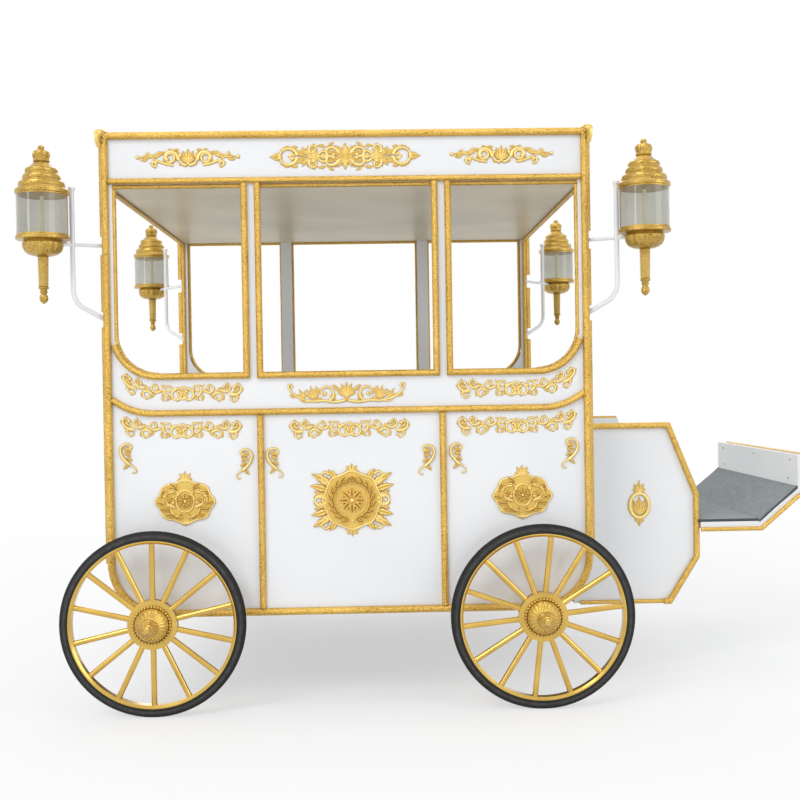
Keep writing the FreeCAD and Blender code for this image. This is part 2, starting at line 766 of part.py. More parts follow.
def end_wall(end_name, end):
    """End wall between the side panels, as a bent board."""
    body = document.addObject("PartDesign::Body", f"EndWall_{end_name}")
    points, arcs = end_profile_points(S.body_bottom, sill_height + S.rope_inset)
    sketch = outline(body, "WallSection", "XZ_Plane", points, arcs)
    pad(body, sketch, S.body_width - S.wall * 2, both=True)
    document.recompute()
    if end == REAR:
        half = S.door_width / 2
        opening = outline(body, "DoorOpening", "YZ_Plane", [
            (-(half + S.door_gap), S.door_bottom - S.door_gap),
            (half + S.door_gap, S.door_bottom - S.door_gap),
            (half + S.door_gap, sill_height * 2),
            (-(half + S.door_gap), sill_height * 2),
        ])
        pocket = body.newObject("PartDesign::Pocket", "DoorCut")
        pocket.Profile = opening
        pocket.Type = "ThroughAll"
        pocket.Midplane = True
        document.recompute()
        body.Placement.Rotation = FreeCAD.Rotation(Vector(0, 0, 1), 180)
    return sub_part(f"{end_name}_wall", body)


def fascias():
    """Boards around the roof: two long ones on the sides, two between them at the ends."""
    for side_name, side in SIDES.items():
        outer = half_width * side
        inner = (half_width - S.wall) * side
        y = (inner, outer) if side == LEFT else (outer, inner)
        board = box("Fascia", (-half_length, half_length), y, (fascia_bottom, S.roof_top))
        shift_box(f"fascia_{side_name}", board, -half_length)
    reach = half_width - S.wall
    for end_name, end in ENDS.items():
        low_x = half_length - S.wall if end == FRONT else -half_length
        low_z = ceiling_height + S.ceiling_board
        board = box("EndFascia", (low_x, low_x + S.wall), (-reach, reach), (low_z, S.roof_top))
        shift_box(f"fascia_{end_name}", board, low_x)


def shift_box(label, item, low_x):
    """Register a box whose corner is its own origin."""
    item.Label = label
    bind(item, "Placement.Base.x", body_x + low_x)
    sub_parts.append(item)
    return item


def flat_panels():
    """Floor deck, ceiling and roof between the side panels."""
    reach = half_width - S.wall
    deck_x = half_length - S.corner_radius
    deck = box("Deck", (-deck_x, deck_x), (-reach, reach), (S.body_bottom, S.body_bottom + S.deck_board))
    shift_box("floor_deck", deck, -deck_x)
    inside = half_length - S.wall
    ceiling = box(
        "Ceiling",
        (-half_length, half_length),
        (-reach, reach),
        (ceiling_height, ceiling_height + S.ceiling_board),
    )
    shift_box("ceiling_panel", ceiling, -half_length)
    roof = box("Roof", (-inside, inside), (-reach, reach), (S.roof_top - S.roof_board, S.roof_top))
    shift_box("roof_panel", roof, -inside)


def rear_door():
    """Half-height rear door with its two hinge barrels and a turn latch."""
    half = S.door_width / 2
    face = -half_length
    top = sill_height + S.rope_inset
    leaf = box("DoorLeaf", (face, face + S.wall), (-half, half), (S.door_bottom, top))
    pin_x = face - S.hinge_standoff
    pin_y = half + S.door_gap / 2
    pieces = [leaf]
    bores = []
    fixed = []
    half_barrel = S.hinge_barrel_length / 2
    knuckle = S.hinge_knuckle
    beyond = knuckle + S.hinge_gap
    for middle in (S.door_bottom + S.hinge_inset, top - S.hinge_inset - S.rope):
        low = middle - half_barrel
        high = middle + half_barrel
        pieces.append(cylinder("door_barrel", S.hinge_barrel / 2, S.hinge_barrel_length, pin_x, pin_y, low))
        pieces.append(box(
            "door_strap",
            (pin_x - S.hinge_gap, face),
            (half - S.hinge_strap, pin_y - S.hinge_gap),
            (low, high),
        ))
        bores.append(cylinder(
            "door_bore",
            S.hinge_pin / 2 + S.fit,
            S.hinge_barrel_length + S.hinge_gap * 2,
            pin_x,
            pin_y,
            low - S.hinge_gap,
        ))
        fixed.append(cylinder(
            "hinge_pin", S.hinge_pin / 2, S.hinge_barrel_length + beyond * 2, pin_x, pin_y, low - beyond))
        for foot in (low - beyond, high + S.hinge_gap):
            fixed.append(cylinder("hinge_knuckle", S.hinge_barrel / 2, knuckle, pin_x, pin_y, foot))
            fixed.append(box(
                "hinge_lug",
                (pin_x - S.hinge_barrel / 2, face),
                (pin_y, pin_y + S.hinge_leaf),
                (foot, foot + knuckle),
            ))
    latch_y = -(half - S.latch_inset)
    latch_z = top - S.latch_drop
    latch_x = face - S.latch_reach / 2
    pieces.append(cylinder(
        "latch_knob", S.latch_knob / 2, S.latch_reach, face, latch_y, latch_z, Vector(-1, 0, 0)))
    pieces.append(box(
        "latch_bar",
        (latch_x - S.latch_bar, latch_x),
        (latch_y - S.latch_knob / 2, latch_y - S.latch_knob / 2 + S.latch_length),
        (latch_z - S.latch_width / 2, latch_z + S.latch_width / 2),
    ))
    door = cut("Door", fuse("DoorWelded", pieces), fuse("DoorBores", bores))
    sub_part("rear_door", door)
    sub_part("door_hinges", fuse("DoorHinges", fixed))


# ---------------------------------------------------------------- rope mouldings
def d_section(point, along, out, diameter, seat):
    """Face of a round moulding cut flat where it lies on its panel; out points away from the panel."""
    radius = diameter / 2
    across = along.cross(out)
    half_flat = math.sqrt(radius ** 2 - seat ** 2)
    left = point - out * seat - across * half_flat
    right = point - out * seat + across * half_flat
    crown = point + out * radius
    edges = [Part.Arc(left, crown, right).toShape(), Part.LineSegment(right, left).toShape()]
    return Part.Wire(edges)


def rope(path, out, diameter=S.rope, seat=S.rope_seat):
    """A moulding along a flat wire of lines and arcs."""
    first = path.OrderedEdges[0]
    start = path.OrderedVertexes[0].Point
    along = first.tangentAt(first.FirstParameter)
    if (first.valueAt(first.FirstParameter) - start).Length > 1e-3:
        along = first.tangentAt(first.LastParameter) * -1
    section = d_section(start, along, out, float(diameter), float(seat))
    shell = Part.BRepOffsetAPI.MakePipeShell(path)
    shell.setTransitionMode(1)
    shell.setBiNormalMode(out)
    shell.add(section)
    shell.build()
    shell.makeSolid()
    return shell.shape()


def reveal_rope(path, out):
    """A slim moulding round the edge of an outer window; out points into the opening at its start."""
    start = path.OrderedVertexes[0].Point
    along = (path.OrderedVertexes[1].Point - start).normalize()
    section = d_section(start, along, out, float(S.slim_rope), float(S.slim_rope_seat))
    shell = Part.BRepOffsetAPI.MakePipeShell(path)
    shell.setTransitionMode(1)
    shell.setBiNormalMode(along.cross(out))
    shell.add(section)
    shell.build()
    shell.makeSolid()
    return shell.shape()


def line(start, end):
    return Part.LineSegment(Vector(*start), Vector(*end)).toShape()


def bend(start, centre, end):
    """A quarter or shorter arc between two points about a centre."""
    start, centre, end = Vector(*start), Vector(*centre), Vector(*end)
    direction = ((start - centre) + (end - centre)).normalize()
    return Part.Arc(start, centre + direction * (start - centre).Length, end).toShape()


def flat_path(points, bends, closed, lift):
    """A wire of lines and arcs from in-plane points; lift turns them into space."""
    spots = [lift(float(u), float(v)) for u, v in points]
    count = len(spots) if closed else len(spots) - 1
    edges = []
    for index in range(count):
        here = spots[index]
        after = spots[(index + 1) % len(spots)]
        if index in bends:
            centre = lift(float(bends[index][0]), float(bends[index][1]))
            edges.append(bend(here, centre, after))
        else:
            edges.append(line(here, after))
    return Part.Wire(edges)


def hanging_rope(start, finish, side):
    """A slim moulding under the head of a side window."""
    y = float(reveal_rope_y) * side
    z = float(window_head - S.head_rope_seat)

    def lift(u, v):
        return (u, y + v, z)

    path = flat_path([(start, 0), (finish, 0)], {}, False, lift)
    return rope(path, Vector(0, 0, -1), S.slim_rope, S.head_rope_seat)


def side_ropes(side_name, side):
    """All mouldings of one side: outer frame, fascia rail, three windows, belt and two seams."""
    y = float(side_rope_y) * side
    slim_y = float(reveal_rope_y) * side
    out = Vector(0, side, 0)

    def lift(u, v):
        return (u, y, v)

    def lift_slim(u, v):
        return (u, slim_y, v)

    radius = S.corner_radius - S.rope_inset
    low = bottom_rope_z
    x = side_rope_x
    centre_z = low + radius
    outer_frame = flat_path(
        [(-x, top_rope_z), (x, top_rope_z), (x, centre_z), (x - radius, low), (-(x - radius), low), (-x, centre_z)],
        {2: (x - radius, centre_z), 4: (-(x - radius), centre_z)},
        True,
        lift,
    )
    ropes = [rope(outer_frame, out, S.frame_rope)]
    ropes.append(rope(flat_path(
        [(-post_edge, fascia_bottom), (post_edge, fascia_bottom)], {}, False, lift), out, S.rail_rope))
    head = upright_top
    foot = sill_height
    half = S.window_centre_half
    ropes.append(rope(flat_path(
        [(-half, head), (-half, foot), (half, foot), (half, head)], {}, False, lift), out))
    opening_half = half - S.window_lip - S.rope_gap
    ropes.append(hanging_rope(-opening_half, opening_half, side))
    turn = window_turn_x
    turn_z = foot + S.window_radius
    outside = S.window_radius + S.rope / 2
    end_cosine = (post_edge - turn) / outside
    end_sine = (1 - end_cosine * end_cosine).root()
    bend_x = turn + S.window_radius * end_cosine
    bend_z = turn_z - S.window_radius * end_sine
    slim_x = window_outer - S.slim_rope_seat
    slim_radius = S.window_radius - S.window_lip - S.slim_rope_seat
    slim_turn = slim_x - slim_radius
    slim_high = window_head - S.head_rope_seat - S.slim_rope / 2 - S.rope_gap
    opening_inner = window_inner + S.window_lip + S.rope_gap
    opening_outer = window_outer - S.rope_gap
    for end in (REAR, FRONT):
        inner = window_inner * end
        ropes.append(rope(flat_path(
            [(inner, head), (inner, foot), (turn * end, foot), (bend_x * end, bend_z)],
            {2: (turn * end, turn_z)},
            False,
            lift,
        ), out))
        reveal = flat_path(
            [(slim_x * end, slim_high), (slim_x * end, turn_z), (slim_turn * end, turn_z - slim_radius)],
            {1: (slim_turn * end, turn_z)},
            False,
            lift_slim,
        )
        ropes.append(reveal_rope(reveal, Vector(-end, 0, 0)))
        ropes.append(hanging_rope(opening_inner * end, opening_outer * end, side))
    rise_x = x - S.belt_curve
    arc_radius = belt_arc_radius()
    centre = S.belt_height + arc_radius
    angle = math.asin(float(post_edge - rise_x) / float(arc_radius))
    end_z = float(centre) - float(arc_radius) * math.cos(angle)
    ropes.append(rope(flat_path(
        [(-post_edge, end_z), (-rise_x, S.belt_height), (rise_x, S.belt_height), (post_edge, end_z)],
        {0: (-rise_x, centre), 2: (rise_x, centre)},
        False,
        lift,
    ), out))
    seam_top = S.belt_height - S.rope / 2 - S.rope_gap
    seam_low = low + S.frame_rope / 2 + S.rope_gap
    for seam in (-S.seam_left, S.seam_right):
        ropes.append(rope(flat_path([(seam, seam_top), (seam, seam_low)], {}, False, lift), out))
    return sub_part(f"rope_trim_{side_name}", feature(f"RopeTrim_{side_name}", Part.makeCompound(ropes)))


def end_ropes(end_name, end):
    """Mouldings of one end: posts, top, fascia rail and sill outside, a slim frame round the opening inside."""
    x = float(end_rope_x) * end
    inner_x = float(half_length + S.rope_seat) * end
    out = Vector(end, 0, 0)
    post = end_rope_y - S.end_rope / 2 - S.rope_gap

    def lift(u, v):
        return (x, u, v)

    def lift_rail(u, v):
        return (inner_x, u, v)

    foot = S.body_bottom + S.corner_radius
    arm_high = arm_end_z + S.arm_gap / 2
    arm_low = arm_end_z - S.arm_gap / 2
    stay = bracket_foot_z + S.stay_gap_rise
    stay_high = stay + S.stay_gap / 2
    stay_low = stay - S.stay_gap / 2
    runs = [[
        (-end_rope_y, arm_high), (-end_rope_y, top_rope_z), (end_rope_y, top_rope_z), (end_rope_y, arm_high),
    ]]
    for side in (LEFT, RIGHT):
        y = end_rope_y * side
        runs.append([(y, arm_low), (y, stay_high)])
        runs.append([(y, stay_low), (y, foot)])
    ropes = [rope(flat_path(run, {}, False, lift), out, S.end_rope, S.end_rope_seat) for run in runs]
    half_door = S.door_width / 2 + S.door_gap
    sill = [(-post, post)]
    if end == REAR:
        sill = [(-post, -half_door), (half_door + S.door_rope_end, post)]
    rails = [(fascia_bottom, -post, post, S.rail_rope)]
    rails += [(end_sill_rope_z, start, finish, S.rope) for start, finish in sill]
    for z, start, finish, diameter in rails:
        ropes.append(rope(flat_path([(start, z), (finish, z)], {}, False, lift_rail), out, diameter))
    frame_x = float(half_length - S.slim_rope / 2) * end
    inner_face = half_width - S.wall
    low = sill_height + S.rope_inset + S.rope_gap
    for side in (LEFT, RIGHT):
        inner_y = float(inner_face - S.slim_rope_seat) * side

        def lift_inside(u, v):
            return (frame_x + u, inner_y, v)

        upright = flat_path([(0, low), (0, ceiling_height)], {}, False, lift_inside)
        ropes.append(rope(upright, Vector(0, -side, 0), S.slim_rope, S.slim_rope_seat))
    across = inner_face - S.slim_rope_seat - S.slim_rope / 2 - S.rope_gap
    head_z = float(ceiling_height - S.head_rope_seat)

    def lift_head(u, v):
        return (frame_x + v, u, head_z)

    head = flat_path([(-across, 0), (across, 0)], {}, False, lift_head)
    ropes.append(rope(head, Vector(0, 0, -1), S.slim_rope, S.head_rope_seat))
    if end == REAR:
        door_span = [(-S.door_width / 2, end_sill_rope_z), (S.door_width / 2 - S.door_rope_end, end_sill_rope_z)]
        door_rope = rope(flat_path(door_span, {}, False, lift_rail), out)
        sub_part("rope_trim_door", feature("RopeTrimDoor", door_rope))
    return sub_part(f"rope_trim_{end_name}", feature(f"RopeTrim_{end_name}", Part.makeCompound(ropes)))


# ---------------------------------------------------------------- driver's box
def box_profile():
    """Six corners of the driver's box side panel, from the body's end wall forward."""
    back = half_length
    return [
        (back, S.box_bottom),
        (back + S.box_top_length, S.box_bottom),
        (back + S.box_length, S.box_knee),
        (back + S.box_length, S.box_shoulder),
        (back + S.box_top_length, S.box_top),
        (back, S.box_top),
    ]


def box_sides():
    for side_name, side in SIDES.items():
        body = document.addObject("PartDesign::Body", f"BoxSide_{side_name}")
        sketch = outline(body, "BoxOutline", "XZ_Plane", box_profile())
        pad(body, sketch, S.box_panel)
        document.recompute()
        y = S.box_width / 2 if side == LEFT else -(S.box_width / 2 - S.box_panel)
        sub_part(f"box_side_{side_name}", body, 0.0, y, 0.0)


def box_front():
    """Front and sloped boards of the driver's box between its side panels, its bottom and its seat."""
    board = S.box_board
    back = half_length
    front = box_front_x
    run = S.box_length - S.box_top_length
    fall = S.box_top - S.box_shoulder
    seat_top = S.box_top - S.seat_drop
    start_x = back + S.box_top_length + run * S.seat_drop / fall
    slope_x = start_x - board * 1.2
    body = document.addObject("PartDesign::Body", "BoxFront")
    points = [
        (back, S.box_bottom),
        (back + S.box_top_length, S.box_bottom),
        (front, S.box_knee),
        (front, S.box_shoulder),
        (start_x, seat_top),
        (slope_x, seat_top),
        (front - board, S.box_shoulder - board * 0.2),
        (front - board, S.box_knee + board * 0.3),
        (back + S.box_top_length - board * 0.3, S.box_bottom + board),
        (back, S.box_bottom + board),
    ]
    sketch = outline(body, "BoardSection", "XZ_Plane", points)
    pad(body, sketch, S.box_width - S.box_panel * 2, both=True)
    document.recompute()
    sub_part("box_front", body)
    inner = S.box_width / 2 - S.box_panel
    seat = box("Seat", (back, slope_x), (-inner, inner), (seat_top - S.seat_board, seat_top))
    shift_box("box_seat", seat, back)


def box_ropes():
    """Mouldings along the free edges of both box side panels, slim along the bottom."""
    ropes = []
    inset = S.rope_inset
    back = half_length
    start = end_rope_x + S.end_rope / 2 + S.rope_gap
    corner = back + S.box_top_length - inset * 0.5
    low = S.box_bottom + inset
    turn = corner - S.rope
    front = box_front_x - inset
    for side in (LEFT, RIGHT):
        y = float(S.box_width / 2 + S.rope_seat) * side
        slim_y = float(S.box_width / 2 + S.slim_rope_seat) * side
        out = Vector(0, side, 0)

        def lift(u, v):
            return (u, y, v)

        def lift_slim(u, v):
            return (u, slim_y, v)

        points = [
            (turn, low),
            (corner, low),
            (front, S.box_knee + inset * 0.3),
            (front, S.box_shoulder - inset * 0.3),
            (corner, S.box_top - inset),
            (start, S.box_top - inset),
        ]
        ropes.append(rope(flat_path(points, {}, False, lift), out))
        bottom = flat_path([(start, low), (turn - S.rope_gap, low)], {}, False, lift_slim)
        ropes.append(rope(bottom, out, S.slim_rope, S.slim_rope_seat))
    return sub_part("rope_trim_box", feature("RopeTrimBox", Part.makeCompound(ropes)))


def footboard():
    """Level then sloped board, wider than the driver's box once clear of it, its carpet and the dash."""
    start = box_front_x
    level = S.foot_level
    rise = S.foot_rise
    thick = S.foot_board
    carpet = S.carpet
    layers = (
        ("Footboard", "footboard_tray", foot_width, level - thick, level, [
            (foot_turn_x + thick * 0.3, level - thick),
            (foot_end_x, level + rise - thick * 1.25),
            (foot_end_x, level + rise),
            (foot_turn_x, level),
        ]),
        ("Carpet", "footboard_carpet", foot_width - S.carpet_inset * 2, level, level + carpet, [
            (foot_turn_x, level),
            (foot_end_x, level + rise),
            (foot_end_x, level + rise + carpet * 1.28),
            (foot_turn_x - carpet * 0.35, level + carpet),
        ]),
    )
    for name, label, width, low, high, beyond in layers:
        body = document.addObject("PartDesign::Body", name)
        section = outline(body, f"{name}Section", "XZ_Plane", [(foot_wide_x, low), *beyond, (foot_wide_x, high)])
        pad(body, section, width, both=True)
        document.recompute()
        tongue = outline(body, f"{name}Tongue", "XZ_Plane", [
            (start, low),
            (foot_turn_x, low),
            (foot_turn_x, high),
            (start, high),
        ])
        pad(body, tongue, S.box_width, both=True)
        document.recompute()
        sub_part(label, body)
    dash = box(
        "Dash",
        (foot_end_x, foot_end_x + S.dash),
        (-foot_width / 2, foot_width / 2),
        (level + rise - thick * 1.25, level + rise + S.dash_height),
    )
    shift_box("dash_panel", dash, foot_end_x)


def foot_ropes():
    """Slim mouldings along the footboard's and dash panel's outer edges, one across the dash panel."""
    level = S.foot_level - S.foot_board - S.foot_rope_drop
    dash_foot = S.foot_level + S.foot_rise - S.foot_board - S.foot_rope_drop
    dash_top = S.foot_level + S.foot_rise + S.dash_height
    front = dash_top_x - S.rope_inset
    ropes = []
    for side in (LEFT, RIGHT):
        y = float(foot_width / 2 + S.slim_rope_seat) * side

        def lift(u, v):
            return (u, y, v)

        points = [
            (foot_wide_x, level),
            (foot_turn_x + S.foot_board * 0.3, level),
            (foot_end_x, dash_foot),
            (front, dash_foot + S.slim_rope),
            (front, dash_top - S.rope_inset),
        ]
        ropes.append(rope(
            flat_path(points, {}, False, lift), Vector(0, side, 0), S.slim_rope, S.slim_rope_seat))
    x = float(dash_top_x + S.rope_seat)

    def lift_front(u, v):
        return (x, u, v)

    z = dash_top - S.rope / 2 + S.dash_rope_rise
    across = foot_width / 2 - S.rope / 2
    ropes.append(rope(flat_path([(-across, z), (across, z)], {}, False, lift_front), Vector(1, 0, 0)))
    return sub_part("rope_trim_footboard", feature("RopeTrimFootboard", Part.makeCompound(ropes)))


# ---------------------------------------------------------------- lanterns
# share of the lantern's height above its tip, radius as a share of the brims' radius
LANTERN_BASE_SHARES = [
    (0.000, 0.00), (0.004, 0.05), (0.012, 0.11), (0.022, 0.150), (0.034, 0.165), (0.046, 0.158),
    (0.056, 0.13), (0.064, 0.10), (0.070, 0.13), (0.077, 0.15), (0.084, 0.12), (0.092, 0.145),
    (0.097, 0.20), (0.104, 0.205), (0.110, 0.16), (0.180, 0.165), (0.294, 0.185), (0.299, 0.21),
    (0.304, 0.38), (0.313, 0.54), (0.328, 0.65), (0.350, 0.71), (0.368, 0.735), (0.382, 0.735),
    (0.400, 0.69), (0.402, 0.98), (0.405, 1.00), (0.420, 1.00), (0.424, 0.98), (0.426, 0.96),
    (0.435, 0.96), (0.435, 0.00),
]
BOWL_SHARE = 0.735
GLASS_FOOT_SHARE = 0.435
GLASS_HEAD_SHARE = 0.680
# the roof of the lantern from the brim to the crown
LANTERN_TOP_SHARES = [
    (0.680, 0.00), (0.680, 0.96), (0.688, 0.96), (0.690, 0.985), (0.694, 1.00), (0.711, 1.00),
    (0.717, 0.97), (0.724, 0.90), (0.732, 0.86), (0.740, 0.872), (0.750, 0.872), (0.761, 0.85),
    (0.769, 0.76), (0.778, 0.70), (0.786, 0.716), (0.796, 0.716), (0.806, 0.69), (0.812, 0.63),
    (0.822, 0.60), (0.829, 0.614), (0.838, 0.614), (0.847, 0.59), (0.854, 0.50), (0.868, 0.40),
    (0.888, 0.28), (0.894, 0.25), (0.900, 0.27), (0.914, 0.27), (0.924, 0.30), (0.940, 0.32),
    (0.958, 0.28), (0.962, 0.14), (0.972, 0.11), (0.984, 0.13), (0.994, 0.09), (1.000, 0.00),
]


def lantern(label, x, y):
    """Turned base and roof joined by a middle rod."""
    pieces = []
    for name, profile in (("base", LANTERN_BASE_SHARES), ("roof", LANTERN_TOP_SHARES)):
        points = [(S.lantern_brim * radius, S.lantern_tip + S.lantern_height * level) for level, radius in profile]
        pieces.append(revolved(f"{label}_{name}", points))
    low = S.lantern_tip + S.lantern_height * GLASS_FOOT_SHARE
    high = S.lantern_tip + S.lantern_height * GLASS_HEAD_SHARE
    pieces.append(cylinder(f"{label}_rod", S.lantern_rod / 2, high - low, 0.0, 0.0, low))
    return sub_part(label, fuse(label + "_metal", pieces), x, y, 0.0)


def lanterns():
    """Four lanterns and their glass cylinders, which stand between the two brims."""
    glasses = []
    low = S.lantern_tip + S.lantern_height * GLASS_FOOT_SHARE
    height = S.lantern_height * (GLASS_HEAD_SHARE - GLASS_FOOT_SHARE)
    radius = S.lantern_brim - S.glass_inset
    for end_name, end in ENDS.items():
        for side_name, side in SIDES.items():
            x = S.lantern_x * end
            y = lantern_y * side
            lantern(f"lantern_{end_name}_{side_name}", x, y)
            name = f"glass_{end_name}_{side_name}"
            outer = cylinder(name + "_outer", radius, height, x, y, low)
            inner = cylinder(name + "_inner", radius - S.glass_wall, height * 2, x, y, low - height / 2)
            glasses.append(cut(name, outer, inner))
    sub_part("lantern_glass", group("LanternGlass", glasses))


def lantern_brackets():
    """White tubes from the corners: one arm to the bowl and one upright that bends back to the corner."""
    tube = float(S.bracket_tube / 2)
    arm_tube = float(S.arm_tube / 2)
    bend_radius = float(S.bracket_bend)
    reach = float(S.bracket_reach)
    bend_z = float(S.lantern_tip + S.bracket_bend_rise)
    foot_z = float(bracket_foot_z)
    top_z = float(S.lantern_tip + S.bracket_top_rise)
    arm_z = float(bracket_arm_z)
    bowl = float(S.lantern_brim * BOWL_SHARE + S.seat_gap)
    face_x = float(half_length)
    brackets = []
    for end in (REAR, FRONT):
        for side in (LEFT, RIGHT):
            axis = Vector(float(S.lantern_x) * end, float(lantern_y) * side, 0)
            seat = Vector(face_x * end, float(half_width - S.bracket_seat) * side, 0)
            inward = (seat - axis).normalize()
            span = (seat - axis).Length

            def spot(along, z):
                return axis + inward * along + Vector(0, 0, z)

            centre_along = reach + bend_radius
            run = span - centre_along
            drop = bend_z - foot_z
            angle = math.acos(bend_radius / math.hypot(run, drop)) + math.atan2(drop, run)
            bend_end = (centre_along + bend_radius * math.cos(angle), bend_z - bend_radius * math.sin(angle))
            middle = (math.pi + angle) / 2
            bend_middle = (
                centre_along + bend_radius * math.cos(middle), bend_z - bend_radius * math.sin(middle))
            slope = Vector(span - bend_end[0], 0, foot_z - bend_end[1])
            beyond = 1 + tube * 2 / slope.Length
            foot = (bend_end[0] + slope.x * beyond, bend_end[1] + slope.z * beyond)
            start = spot(reach, top_z)
            path = Part.Wire([
                Part.LineSegment(start, spot(reach, bend_z)).toShape(),
                Part.Arc(spot(reach, bend_z), spot(*bend_middle), spot(*bend_end)).toShape(),
                Part.LineSegment(spot(*bend_end), spot(*foot)).toShape(),
            ])
            section = Part.Wire([Part.makeCircle(tube, start, Vector(0, 0, -1))])
            upright = path.makePipeShell([section], True, False)
            arm_run = spot(span, float(arm_end_z)) - spot(bowl, arm_z)
            arm = Part.makeCylinder(arm_tube, arm_run.Length + tube * 2, spot(bowl, arm_z), arm_run)
            cap = Part.makeCylinder(tube * 1.4, tube, start, Vector(0, 0, 1))
            bracket = upright.fuse([arm, cap])
            depth = tube * 8
            behind = Part.makeBox(depth, depth * 2, top_z)
            behind.Placement.Base = Vector(
                seat.x if end == REAR else seat.x - depth, seat.y - depth, 0)
            brackets.append(bracket.cut(behind))
    return sub_part("lantern_brackets", feature("LanternBrackets", Part.makeCompound(brackets)))


# ---------------------------------------------------------------- build
chassis_frame()
rear_axle()
front_axle()
pole_fork()
for side_name, side in SIDES.items():
    wheel(f"wheel_front_{side_name}", S.front_axle_x, side, S.front_spoke_turn)
    tyre(f"tyre_front_{side_name}", S.front_axle_x, side)
    wheel(f"wheel_rear_{side_name}", -S.rear_axle_x, side, S.rear_spoke_turn)
    tyre(f"tyre_rear_{side_name}", -S.rear_axle_x, side)
    side_lower(side_name, side)
    side_frame(side_name, side)
    side_ropes(side_name, side)
for end_name, end in ENDS.items():
    end_wall(end_name, end)
    end_ropes(end_name, end)
fascias()
flat_panels()
rear_door()
box_sides()
box_front()
box_ropes()
footboard()
foot_ropes()
lanterns()
lantern_brackets()
document.recompute()

for item in document.Objects:
    if "Invalid" in item.State or "Error" in item.State:
        raise RuntimeError(f"{item.Name} ({item.Label}) did not build: {item.State}")
for item in sub_parts:
    if item.Shape.isNull() or not item.Shape.isValid():
        raise RuntimeError(f"{item.Label} has no valid shape")

os.makedirs("parts", exist_ok=True)
for item in sub_parts:
    item.Shape.exportStep(f"parts/{item.Label}.step")
    print(item.Label, len(item.Shape.Solids), round(item.Shape.Volume))
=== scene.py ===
"""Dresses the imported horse-drawn carriage: finishes, carvings, lamp details, floor, light and camera."""

import math

import bmesh
import bpy
from mathutils import Matrix, Vector


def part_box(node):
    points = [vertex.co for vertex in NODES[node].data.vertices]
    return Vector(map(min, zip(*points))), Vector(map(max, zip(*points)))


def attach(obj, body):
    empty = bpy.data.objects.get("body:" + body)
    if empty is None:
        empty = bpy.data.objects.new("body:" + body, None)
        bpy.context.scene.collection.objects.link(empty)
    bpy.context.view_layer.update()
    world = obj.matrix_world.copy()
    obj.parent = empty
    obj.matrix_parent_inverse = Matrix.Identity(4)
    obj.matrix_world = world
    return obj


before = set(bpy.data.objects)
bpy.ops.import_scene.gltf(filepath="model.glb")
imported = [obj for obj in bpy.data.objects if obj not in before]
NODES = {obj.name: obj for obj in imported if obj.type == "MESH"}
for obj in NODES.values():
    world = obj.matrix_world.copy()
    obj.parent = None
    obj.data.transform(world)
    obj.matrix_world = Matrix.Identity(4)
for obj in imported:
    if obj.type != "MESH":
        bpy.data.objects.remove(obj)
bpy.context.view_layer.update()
BODY = "carriage_body"

# ---------------------------------------------------------------- places taken from the frame (metres)
panel_low, panel_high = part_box("side_lower_left")
fascia_low, fascia_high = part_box("fascia_left")
MID_X = (panel_low.x + panel_high.x) / 2
HALF_LENGTH = (panel_high.x - panel_low.x) / 2
SIDE_FACE = panel_high.y
ROOF = fascia_high.z
FASCIA_LOW = fascia_low.z
FASCIA_MIDDLE = (FASCIA_LOW + ROOF) / 2
TYRES = {name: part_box(name) for name in NODES if name.startswith("tyre_")}
SIDES = {"left": 1, "right": -1}
ENDS = {"rear": -1, "front": 1}
LANTERNS = {f"{end}_{side}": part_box(f"lantern_{end}_{side}") for end in ENDS for side in SIDES}
MILLI = 1000          # millimetres in a metre
# The carved gold reads this value to paint shade low on each form and highlight high on it.
CREST = "crest"       # how far up its own form a carved point lies, 0 to 1


# ---------------------------------------------------------------- shader helpers
def settle(node, **values):
    """Sets a node's own input values by name, with _ for a space."""
    for key, value in values.items():
        node.inputs[key.replace("_", " ")].default_value = value
    return node


def add(tree, kind, **values):
    """A new node with its input values set."""
    return settle(tree.nodes.new(kind), **values)


def material(name, **values):
    """A new node material, with its tree and its shader."""
    made = bpy.data.materials.new(name)
    made.use_nodes = True
    tree = made.node_tree
    return made, tree, settle(tree.nodes["Principled BSDF"], **values)


def position(tree):
    """Object coordinates, which stay with the piece as it moves."""
    return tree.nodes.new("ShaderNodeTexCoord").outputs["Object"]


def noise(tree, scale, detail=3.0, roughness=0.5, where=None):
    """Cloudy noise from 0 to 1."""
    node = add(tree, "ShaderNodeTexNoise", Scale=scale, Detail=detail, Roughness=roughness)
    tree.links.new(where or position(tree), node.inputs["Vector"])
    return node.outputs["Fac"]


def ramp(tree, source, stops):
    """A colour ramp through (position, colour) stops."""
    node = tree.nodes.new("ShaderNodeValToRGB")
    elements = node.color_ramp.elements
    while len(elements) < len(stops):
        elements.new(0.5)
    for element, (place, colour) in zip(elements, stops):
        element.position = place
        element.color = (*colour, 1.0)
    tree.links.new(source, node.inputs["Fac"])
    return node.outputs["Color"]


def spread(tree, source, low, high, source_low=0.0, source_high=1.0):
    """A value from one range, 0 to 1 unless told, spread over another."""
    node = add(tree, "ShaderNodeMapRange", From_Min=source_low, From_Max=source_high, To_Min=low, To_Max=high)
    tree.links.new(source, node.inputs["Value"])
    return node.outputs["Result"]


def plus_share(tree, first, second, share):
    """The first value plus a share of the second."""
    node = tree.nodes.new("ShaderNodeMath")
    node.operation = "MULTIPLY_ADD"
    tree.links.new(second, node.inputs[0])
    node.inputs[1].default_value = share
    tree.links.new(first, node.inputs[2])
    return node.outputs["Value"]


def joined(tree, operation, first, second):
    """Two values joined by an operation."""
    node = tree.nodes.new("ShaderNodeMath")
    node.operation = operation
    tree.links.new(first, node.inputs[0])
    tree.links.new(second, node.inputs[1])
    return node.outputs["Value"]


